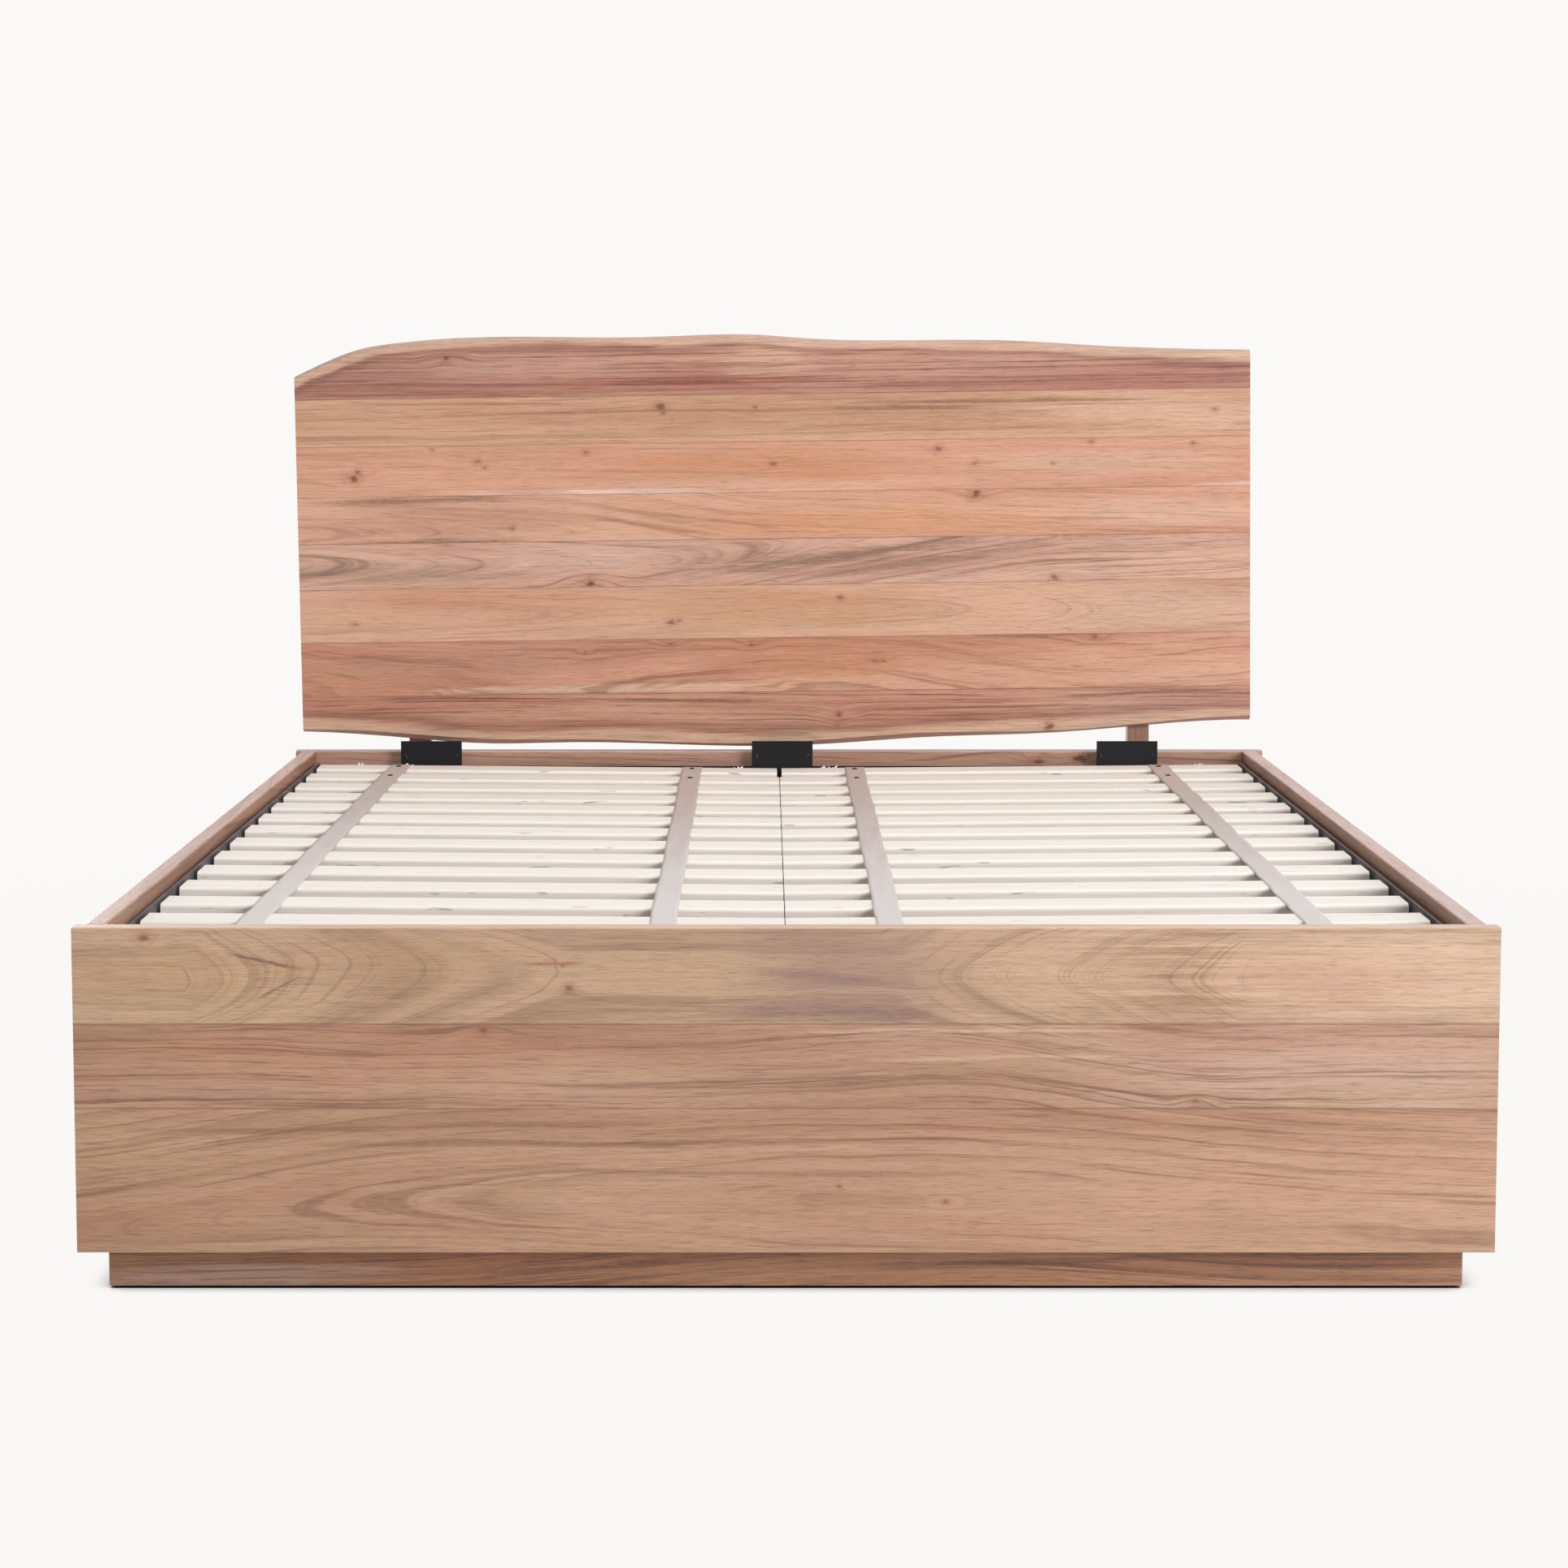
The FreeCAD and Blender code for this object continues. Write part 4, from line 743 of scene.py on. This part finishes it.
def base_wood():
    """The plinth, and the softwood and plywood inside the box."""
    for place, axes, seed in (("back", "xzy", 37.0), ("sides", "yzx", 43.0)):
        wood(f"plinth_{place}", axes, PLINTH_TONES, seed, pith=(0.12, 0.0), taper=0.02, contrast=0.7,
             fine=0.7)
    wood("plinth_front", "xzy", PLINTH_TONES, 31.0, pith=(0.3, -1.2), taper=0.02, contrast=0.7, fine=0.8,
         climbs=((-0.5, 0.1, 0.03), (0.2, 0.6, -0.03)),
         patches=((-0.64, 0.015, 0.2, 0.02, (176, 152, 142), 0.6),
                  (0.1, 0.03, 0.3, 0.02, (168, 122, 96), 0.4),
                  (0.6, 0.03, 0.3, 0.03, (128, 88, 66), 0.5)),
         streaks=(((-0.4, 0.012), (-0.05, 0.04), 0.006, (92, 58, 46), 0.6),
                  ((0.02, 0.02), (0.5, 0.036), 0.006, (96, 62, 50), 0.5)))
    for node, axes in (("floor_joists", "xzy"), ("corner_blocks", "zxy"), ("support_ledges", "yzx")):
        wood(node, axes, PINE_TONES, 3.0, pith=(0.0, 0.5), contrast=0.45, rough=0.6)
    for place, seed in (("foot", 7.0), ("head", 11.0)):
        wood(f"storage_floor_{place}", "yxz", PLY_TONES, seed, pith=(0.0, 0.15), taper=0.02,
             contrast=0.3, rough=0.55)


# Slats: waves per metre along and across, and the shift from slat to slat
SLAT_SLOW = (2.0, 14.0, 40.0)
SLAT_FLECKS = (22.0, 160.0, 90.0)
SLAT_FIBRES = (10.0, 500.0, 30.0)
SLAT_RINGS = (0.8, 90.0, 60.0)
SLAT_RINGS_DEEP = 60.0
SLAT_WANDER = 0.02
SLAT_RING_STEP = (0.45, 0.75)
SLAT_RING_SHARE = 0.5
SLAT_SELF_SHARE = 0.5
# Painted shade on the slat tops: which faces count as tops, and its share at the foot and towards the head
SLAT_SHADE_STEP = (0.7, 0.98)
SLAT_SHADE_STRETCH = (-0.2, 0.9)
SLAT_SHADE_FOOT = 0.12
SLAT_SHADE_HEAD = 0.5
SLAT_FLECK_STEP = (0.7, 0.78)
SLAT_FLECK_SHARE = 0.6
SLAT_PALE = (251, 246, 238)
SLAT_RING = (240, 228, 212)
SLAT_WHITE = (252, 248, 243)
# Grey of the painted shade on the slat tops
SLAT_TOP_SHADE = (218, 208, 201)
SLAT_FLECK = (150, 126, 100)
SLAT_BRIGHT = 0.92
SLAT_FIBRE_SHADE = 0.16
SLAT_ROUGH = 0.62
SLAT_FIBRE_MATT = 0.12
SLAT_RELIEF = 0.0004


def slat_wood():
    """Planed softwood, a little different on each slat, with painted shade greying the tops, more so
    towards the head.
    """
    s = Surface("slat_pine")
    u, v, w = s.place("xyz")
    one = s.island()

    def drawn(waves, detail):
        along, across, shift = waves
        return s.noise(u * along + one * shift, v * across, w * across, detail)

    slow = drawn(SLAT_SLOW, 2.0) - NOISE_MIDDLE
    along, across, shift = SLAT_RINGS
    rings = s.noise((v + slow * SLAT_WANDER) * across + one * shift, u * along, w * SLAT_RINGS_DEEP)
    colour = s.mix(rings.step(*SLAT_RING_STEP) * SLAT_RING_SHARE, srgb(*SLAT_PALE), srgb(*SLAT_RING))
    colour = s.mix(one * SLAT_SELF_SHARE, colour, srgb(*SLAT_WHITE))
    # Painted shade: the tops turn grey, more towards the head
    share = SLAT_SHADE_FOOT + v.step(*SLAT_SHADE_STRETCH) * SLAT_SHADE_HEAD
    colour = s.mix(s.facing().step(*SLAT_SHADE_STEP) * share, colour, srgb(*SLAT_TOP_SHADE))
    fleck = drawn(SLAT_FLECKS, 1.0).step(*SLAT_FLECK_STEP)
    colour = s.mix(fleck * SLAT_FLECK_SHARE, colour, srgb(*SLAT_FLECK))
    fibre = drawn(SLAT_FIBRES, 3.0)
    colour = s.brighten(colour, SLAT_BRIGHT + fibre * SLAT_FIBRE_SHADE)
    made = s.finish(colour, SLAT_ROUGH + fibre * SLAT_FIBRE_MATT, fibre, SLAT_RELIEF)
    for side in ("left", "right"):
        dress(f"{side}_slats", made)
    return made


# Steel and plastic: waves per metre, and depths of relief
PEEL_WAVES = 900.0
PEEL_DEPTH = 0.0002
COAT_GLOSS = 0.25
ZINC_DRAWN = (120.0, 120.0, 1400.0)
ZINC_SPANGLE = 60.0
ZINC_STEP = (0.35, 0.65)
ZINC_TONES = ((186, 188, 190), (206, 206, 204))
ZINC_ROUGH = 0.24
ZINC_DRAWN_MATT = 0.2
ZINC_DEPTH = 0.0001


def powder_coat(name, waves, step, share, tones, rough, worn_rough, peel_rough):
    """Baked powder paint with a fine orange peel and patchy places, worn on the black and streaks of
    painted sheen on the grey.
    """
    s = Surface(name)
    u, v, w = s.place("xyz")
    peel = s.noise(u * PEEL_WAVES, v * PEEL_WAVES, w * PEEL_WAVES)
    worn = s.noise(u * waves[0], v * waves[1], w * waves[2], detail=4.0).step(*step)
    colour = s.mix(worn * share, srgb(*tones[0]), srgb(*tones[1]))
    roughness = rough + worn * worn_rough + peel * peel_rough
    return s.finish(colour, roughness, peel, PEEL_DEPTH, Specular_IOR_Level=COAT_GLOSS)


def speckled(name, waves, tones, rough, spread, depth):
    """A surface with small lumps of two tones."""
    s = Surface(name)
    u, v, w = s.place("xyz")
    lumps = s.noise(u * waves, v * waves, w * waves)
    colour = s.mix(lumps, srgb(*tones[0]), srgb(*tones[1]))
    return s.finish(colour, rough + lumps * spread, lumps, depth)


def zinc_plate():
    s = Surface("zinc_plated_steel")
    u, v, w = s.place("xyz")
    drawn = s.noise(u * ZINC_DRAWN[0], v * ZINC_DRAWN[1], w * ZINC_DRAWN[2], detail=3.0)
    spangle = s.noise(u * ZINC_SPANGLE, v * ZINC_SPANGLE, w * ZINC_SPANGLE).step(*ZINC_STEP)
    colour = s.mix(spangle, srgb(*ZINC_TONES[0]), srgb(*ZINC_TONES[1]))
    return s.finish(colour, ZINC_ROUGH + drawn * ZINC_DRAWN_MATT, drawn, ZINC_DEPTH, Metallic=1.0)


def steel():
    """Dress the steel and plastic nodes, and return the paint of the small pieces at the head."""
    black = powder_coat("black_powder_coat", waves=(30.0, 30.0, 30.0), step=(0.5, 0.8), share=0.35,
                        tones=((13, 13, 19), (28, 28, 35)), rough=0.5, worn_rough=0.14, peel_rough=0.06)
    # The side bars' grey is a painted sheen of light on the black steel
    sheen_grey = powder_coat("grey_painted_sheen_coat", waves=(40.0, 12.0, 40.0), step=(0.3, 0.7), share=1.0,
                       tones=((84, 79, 82), (116, 110, 113)), rough=0.55, worn_rough=0.0, peel_rough=0.1)
    paint = speckled("thick_black_paint", waves=500.0, tones=((10, 10, 14), (30, 30, 37)), rough=0.2,
                     spread=0.15, depth=0.0003)
    zinc = zinc_plate()
    plastic = speckled("glide_plastic", waves=700.0, tones=((34, 34, 34), (48, 48, 47)), rough=0.55,
                       spread=0.2, depth=0.0002)
    finishes = {"black_steel": black, "bright_steel": zinc, "glide_plastic": plastic}
    for part in frame["record"]["subparts"]:
        made = finishes.get(part["material_slot"])
        if made:
            dress(part["node"], made)
    # Painted sheen: the side angle bars take the grey
    for side in ("left", "right"):
        dress(f"{side}_angle_bar", sheen_grey)
    return paint


# Webbing that keeps the slats apart
TAPE_THICKNESS = 0.001
TAPE_ROW = 0.004
TAPE_COLUMNS = 8
TAPE_SAG = 0.0014
TAPE_EDGE_LIFT = 0.25
TAPE_WAVES = ((0.0007, 9.0, 50), (0.0004, 31.0, 20))
SLAT_ROUND = 0.005
SLAT_APART = 0.1
PLACE_DIGITS = 4
WEAVE_ALONG = 0.0016
WEAVE_ACROSS = 0.0021
WEAVE_DEPTH = 0.0003
WEAVE_SHEEN = 0.25
RIB_SHADE = 0.08
TAPE_WORN = (6.0, 60.0)
TAPE_THREAD = (300.0, 1200.0)
THREAD_SHADE = 0.1
THREAD_MATT = 0.1
THREAD_RELIEF = 0.4
TAPE_BRIGHT = 0.9
TAPE_ROUGH = 0.78
TAPE_FADE = (-0.9, 0.7)
TAPE_FADE_WANDER = 0.8
TAPE_FOOT = (226, 219, 216)
TAPE_HEAD = (188, 168, 162)


def webbing():
    """Woven tape, paler towards the foot."""
    s = Surface("woven_webbing")
    u, v, w = s.place("yxz")
    along = (u * (2 * math.pi / WEAVE_ALONG)).sine()
    across = (v * (2 * math.pi / WEAVE_ACROSS)).sine()
    rib = (along * across + 1.0) / 2
    worn = s.noise(u * TAPE_WORN[0], v * TAPE_WORN[1], detail=3.0) - NOISE_MIDDLE
    thread = s.noise(u * TAPE_THREAD[0], v * TAPE_THREAD[1])
    colour = s.mix((u + worn * TAPE_FADE_WANDER).step(*TAPE_FADE), srgb(*TAPE_FOOT), srgb(*TAPE_HEAD))
    colour = s.brighten(colour, TAPE_BRIGHT + rib * RIB_SHADE + thread * THREAD_SHADE)
    return s.finish(colour, TAPE_ROUGH + thread * THREAD_MATT, rib + thread * THREAD_RELIEF,
                    WEAVE_DEPTH, Sheen_Weight=WEAVE_SHEEN)


def slat_spans(name):
    """Where each slat starts and ends along the bed, read from the solids, foot first."""
    ends = sorted(vertex.co.y for vertex in nodes[name].data.vertices)
    spans = [[ends[0], ends[0]]]
    for y in ends:
        if y - spans[-1][0] > SLAT_APART:
            spans.append([y, y])
        spans[-1][1] = max(spans[-1][1], y)
    return spans


def tape_drop(y, start, end, spans):
    """How far the tape lies below the slats' tops at one place along the bed."""
    edge = min(y - start, end - y)
    if edge < SLAT_ROUND:
        return SLAT_ROUND - math.sqrt(SLAT_ROUND ** 2 - (SLAT_ROUND - edge) ** 2)
    for before, after in zip(spans, spans[1:]):
        if before[1] < y < after[0]:
            return TAPE_SAG * math.sin(math.pi * (y - before[1]) / (after[0] - before[1])) ** 2
    return 0.0


def tape(name, slats, material):
    """A woven band over the slats, dipping between them and bending over the end slats' edges."""
    points = [vertex.co for vertex in nodes[name].data.vertices]
    left = min(points, key=lambda p: (round(p.x, PLACE_DIGITS), p.z))
    right = min(points, key=lambda p: (-round(p.x, PLACE_DIGITS), p.z))
    low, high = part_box(name)
    spans = slat_spans(slats)
    rows = max(2, round((high.y - low.y) / TAPE_ROW))
    made = bmesh.new()
    grid = []
    for row in range(rows + 1):
        y = low.y + (high.y - low.y) * row / rows
        drop = tape_drop(y, low.y, high.y, spans)
        sway = sum(size * math.sin(y * along + low.x * shift) for size, along, shift in TAPE_WAVES)
        line = []
        for column in range(TAPE_COLUMNS + 1):
            share = column / TAPE_COLUMNS
            x = left.x + (right.x - left.x) * share + sway
            z = left.z + (right.z - left.z) * share - drop * (1 - TAPE_EDGE_LIFT * abs(2 * share - 1))
            line.append(made.verts.new((x, y, z)))
        grid.append(line)
    for first, second in zip(grid, grid[1:]):
        for column in range(TAPE_COLUMNS):
            made.faces.new((first[column], first[column + 1], second[column + 1], second[column]))
    piece = mesh_object(name + "_woven", made, material)
    thick = piece.modifiers.new("thickness", "SOLIDIFY")
    thick.thickness = TAPE_THICKNESS
    thick.offset = 1
    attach(piece, "lift_frame")
    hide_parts(name)
    level = (left.z + right.z) / 2 + TAPE_THICKNESS
    middle = (left.x + right.x) / 2
    return [Vector((middle, (span[0] + span[1]) / 2, level)) for span in spans[-RIVETED_SLATS:]]


def mesh_object(name, made, material):
    """Turn built points and faces into a smooth object."""
    mesh = bpy.data.meshes.new(name)
    made.to_mesh(mesh)
    made.free()
    for face in mesh.polygons:
        face.use_smooth = True
    mesh.materials.append(material)
    piece = bpy.data.objects.new(name, mesh)
    bpy.context.scene.collection.objects.link(piece)
    return piece


# Small pieces that the photograph shows at the head: rivets, weld beads and torn fibres
RIVETED_SLATS = 2
RIVET_RADIUS = 0.0042
RIVET_HEIGHT = 0.002
RIVET_SIDES = 20
RIVET_PROFILE = ((1.0, -0.3), (1.0, 0.3), (0.9, 0.7), (0.72, 1.0), (0.55, 0.9), (0.45, 0.5), (0.2, 0.4))
BEAD_RADIUS = 0.0018
BEAD_RINGS = 9
BEAD_SIDES = 8
BEAD_HEIGHT = 0.011
BEAD_INSET = 0.007
BEAD_CURL = 0.005
BEAD_ABOVE_SLATS = 0.006
BEAD_ENDS = 0.25
BEAD_RIPPLE = 0.15
BEAD_RIPPLE_TURN = 2.2
BEAD_FLATNESS = 0.7
STOP_APART = 0.02
FIBRE_PLACES = (-0.686, -0.61, -0.066, 0.072, 0.086, 0.69)
FIBRES_EACH = 4
FIBRE_STEP = 0.003
FIBRE_INSET = 0.006
FIBRE_ROOT = 0.001
FIBRE_LEAN = 0.005
FIBRE_BACK = 0.003
FIBRE_HEIGHT = 0.0035
FIBRE_UNEVEN = 0.0015
FIBRE_HALF = 0.0018
FIBRE_HALF_UNEVEN = 0.0006
FIBRE_THICKNESS = 0.0005
PLACE_TURN = 2.3
FIBRE_TURN = 1.7
RISE_TURN = 2.9
FIBRE_TAPER = ((0.0, 1.0), (0.55, 0.75), (1.0, 0.15))
FIBRE_CORNERS = ((-1, -1), (1, -1), (1.2, 1), (-0.8, 1))
HEAD_SLAT_DEPTH = 0.02
INNER_END = 0.05
SLAT_END = 0.75


def head_piece(name, made, material):
    """Turn built points and faces into a piece on the lift frame."""
    bmesh.ops.recalc_face_normals(made, faces=made.faces)
    piece = mesh_object(name, made, material)
    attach(piece, "lift_frame")


def ring(made, middle, sides, wide, deep):
    """Points round a middle, on a level oval."""
    turns = [2 * math.pi * side / sides for side in range(sides)]
    return [made.verts.new(middle + Vector((math.cos(t) * wide, math.sin(t) * deep, 0))) for t in turns]


def skin(made, rings):
    """Faces between rings of points, with both ends closed."""
    for first, second in zip(rings, rings[1:]):
        for side in range(len(first)):
            after = (side + 1) % len(first)
            made.faces.new((first[side], first[after], second[after], second[side]))
    made.faces.new(rings[0])
    made.faces.new(rings[-1])


def rivets(places, material):
    """Eyelets through the tapes: a rolled rim round a sunk middle."""
    made = bmesh.new()
    for place in places:
        rings = []
        for out, up in RIVET_PROFILE:
            reach = RIVET_RADIUS * out
            middle = place + Vector((0, 0, RIVET_HEIGHT * up))
            rings.append(ring(made, middle, RIVET_SIDES, reach, reach))
        skin(made, rings)
    head_piece("tape_rivets", made, material)


def weld_beads(material):
    """Short crescent beads near the lower corners of the mattress stops."""
    spots = [vertex.co for vertex in nodes["mattress_stops"].data.vertices]
    front = min(spot.y for spot in spots)
    places = sorted(spot.x for spot in spots)
    edges = [places[0]]
    for x in places:
        if x - edges[-1] > STOP_APART:
            edges.append(x)
    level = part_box("left_slats")[1].z + BEAD_ABOVE_SLATS
    made = bmesh.new()
    for number, x in enumerate(edges):
        inward = 1 if number % 2 == 0 else -1
        rings = []
        for step in range(BEAD_RINGS):
            share = step / (BEAD_RINGS - 1)
            ripple = 1 - BEAD_RIPPLE + BEAD_RIPPLE * math.cos(step * BEAD_RIPPLE_TURN)
            bulge = BEAD_RADIUS * (BEAD_ENDS + (1 - BEAD_ENDS) * math.sin(math.pi * share)) * ripple
            middle = Vector((x + inward * (BEAD_INSET + BEAD_CURL * share ** 2), front,
                             level + BEAD_HEIGHT * (1 - share)))
            rings.append(ring(made, middle, BEAD_SIDES, bulge, bulge * BEAD_FLATNESS))
        skin(made, rings)
    head_piece("stop_weld_beads", made, material)


def splinters(material):
    """Torn fibres standing up at the back edge of the slats at the head."""
    made = bmesh.new()
    for number, x in enumerate(FIBRE_PLACES):
        points = [vertex.co for vertex in nodes["left_slats" if x < 0 else "right_slats"].data.vertices]
        back = max(point.y for point in points)
        row = [point for point in points if point.y > back - HEAD_SLAT_DEPTH]
        top = max(point.z for point in row)
        inner = max(point.z for point in row if abs(point.x) < INNER_END)
        level = inner + (top - inner) * abs(x) / SLAT_END - FIBRE_ROOT
        for step in range(FIBRES_EACH):
            wave = math.sin(number * PLACE_TURN + step * FIBRE_TURN)
            root = Vector((x + (step - (FIBRES_EACH - 1) / 2) * FIBRE_STEP,
                           back - FIBRE_INSET + FIBRE_ROOT * wave, level))
            rise = FIBRE_HEIGHT + FIBRE_UNEVEN * math.cos(number + step * RISE_TURN)
            tip = root + Vector((FIBRE_LEAN * wave, FIBRE_BACK * wave, rise))
            half = FIBRE_HALF + FIBRE_HALF_UNEVEN * wave
            rings = []
            for share, wide in FIBRE_TAPER:
                middle = root.lerp(tip, share)
                rings.append([made.verts.new(middle + Vector((a * half * wide, b * FIBRE_THICKNESS, 0)))
                              for a, b in FIBRE_CORNERS])
            skin(made, rings)
    head_piece("slat_splinters", made, material)


# Light: an even pale room, large soft lamps, and the photograph's off-white ground
GROUND = srgb(250, 249, 247)
ROOM_LIGHT = 0.36
LAMPS = (("front_right_lamp", (4.2, -6.4, 2.4), 3.0, 300.0),
         ("top_lamp", (0.5, 0.0, 4.2), 3.5, 85.0),
         ("back_lamp", (-3.0, 6.0, 1.0), 2.0, 100.0))
LAMP_AIM = Vector((0, -0.2, 0.4))
FLOOR_REACH = 60.0
FLOOR_TONE = (236, 235, 233)
FLOOR_ROUGH = 0.8
SHADOW_FADE = (2.2, 4.0)
SHADOW_REACH = 0.05
SHADOW_SAMPLES = 8
SHADOW_STEP = (0.15, 0.85)
GLOW_SHARE = 0.99


def light():
    world = bpy.data.worlds.new("room")
    bpy.context.scene.world = world
    room = Graph(world)
    ground = room.tree.nodes["Background"]
    ground.inputs["Color"].default_value = GROUND
    room.put(ground.inputs["Strength"], room.shown() * (1 - ROOM_LIGHT) + ROOM_LIGHT)
    for name, place, size, power in LAMPS:
        data = bpy.data.lights.new(name, "AREA")
        data.shape = "DISK"
        data.size = size
        data.energy = power
        lamp = bpy.data.objects.new(name, data)
        lamp.location = place
        lamp.rotation_euler = (LAMP_AIM - Vector(place)).to_track_quat("-Z", "Y").to_euler()
        bpy.context.scene.collection.objects.link(lamp)


def floor():
    """A pale floor that shows the ground's colour, with a painted shadow, a soft dark line, where the bed
    stands on it.
    """
    s = Surface("pale_floor")
    x, y, z = s.place("xyz")
    near = 1.0 - x.length(y).step(*SHADOW_FADE)
    # Painted shadow: the floor's glow darkens where the bed stands close
    shadow = s.add("ShaderNodeAmbientOcclusion", samples=SHADOW_SAMPLES)
    shadow.inputs["Distance"].default_value = SHADOW_REACH
    dim = Value(s, shadow.outputs["AO"]).step(*SHADOW_STEP)
    glow = s.add("ShaderNodeEmission")
    glow.inputs["Color"].default_value = GROUND
    s.put(glow.inputs["Strength"], 1.0 - near * (1.0 - dim * GLOW_SHARE))
    s.shader.inputs["Base Color"].default_value = srgb(*FLOOR_TONE)
    s.shader.inputs["Roughness"].default_value = FLOOR_ROUGH
    both = s.add("ShaderNodeMixShader")
    s.put(both.inputs[0], s.shown())
    s.put(both.inputs[1], s.shader.outputs[0])
    s.put(both.inputs[2], glow.outputs[0])
    out = next(node for node in s.tree.nodes if node.type == "OUTPUT_MATERIAL")
    s.put(out.inputs["Surface"], both.outputs[0])
    mesh = bpy.data.meshes.new("floor")
    corners = [(a * FLOOR_REACH, b * FLOOR_REACH, 0) for a, b in ((-1, -1), (1, -1), (1, 1), (-1, 1))]
    mesh.from_pydata(corners, [], [(0, 1, 2, 3)])
    mesh.materials.append(s.material)
    made = bpy.data.objects.new("floor", mesh)
    bpy.context.scene.collection.objects.link(made)


camera()
light()
floor()
headboard()
footboard()
rails()
base_wood()
pale_wood = slat_wood()
paint = steel()
band = webbing()
holes = []
for side in ("left", "right"):
    for row in ("inner", "outer"):
        holes += tape(f"{side}_{row}_tape", f"{side}_slats", band)
rivets(holes, paint)
weld_beads(paint)
splinters(pale_wood)

bpy.context.scene.view_settings.view_transform = "Standard"
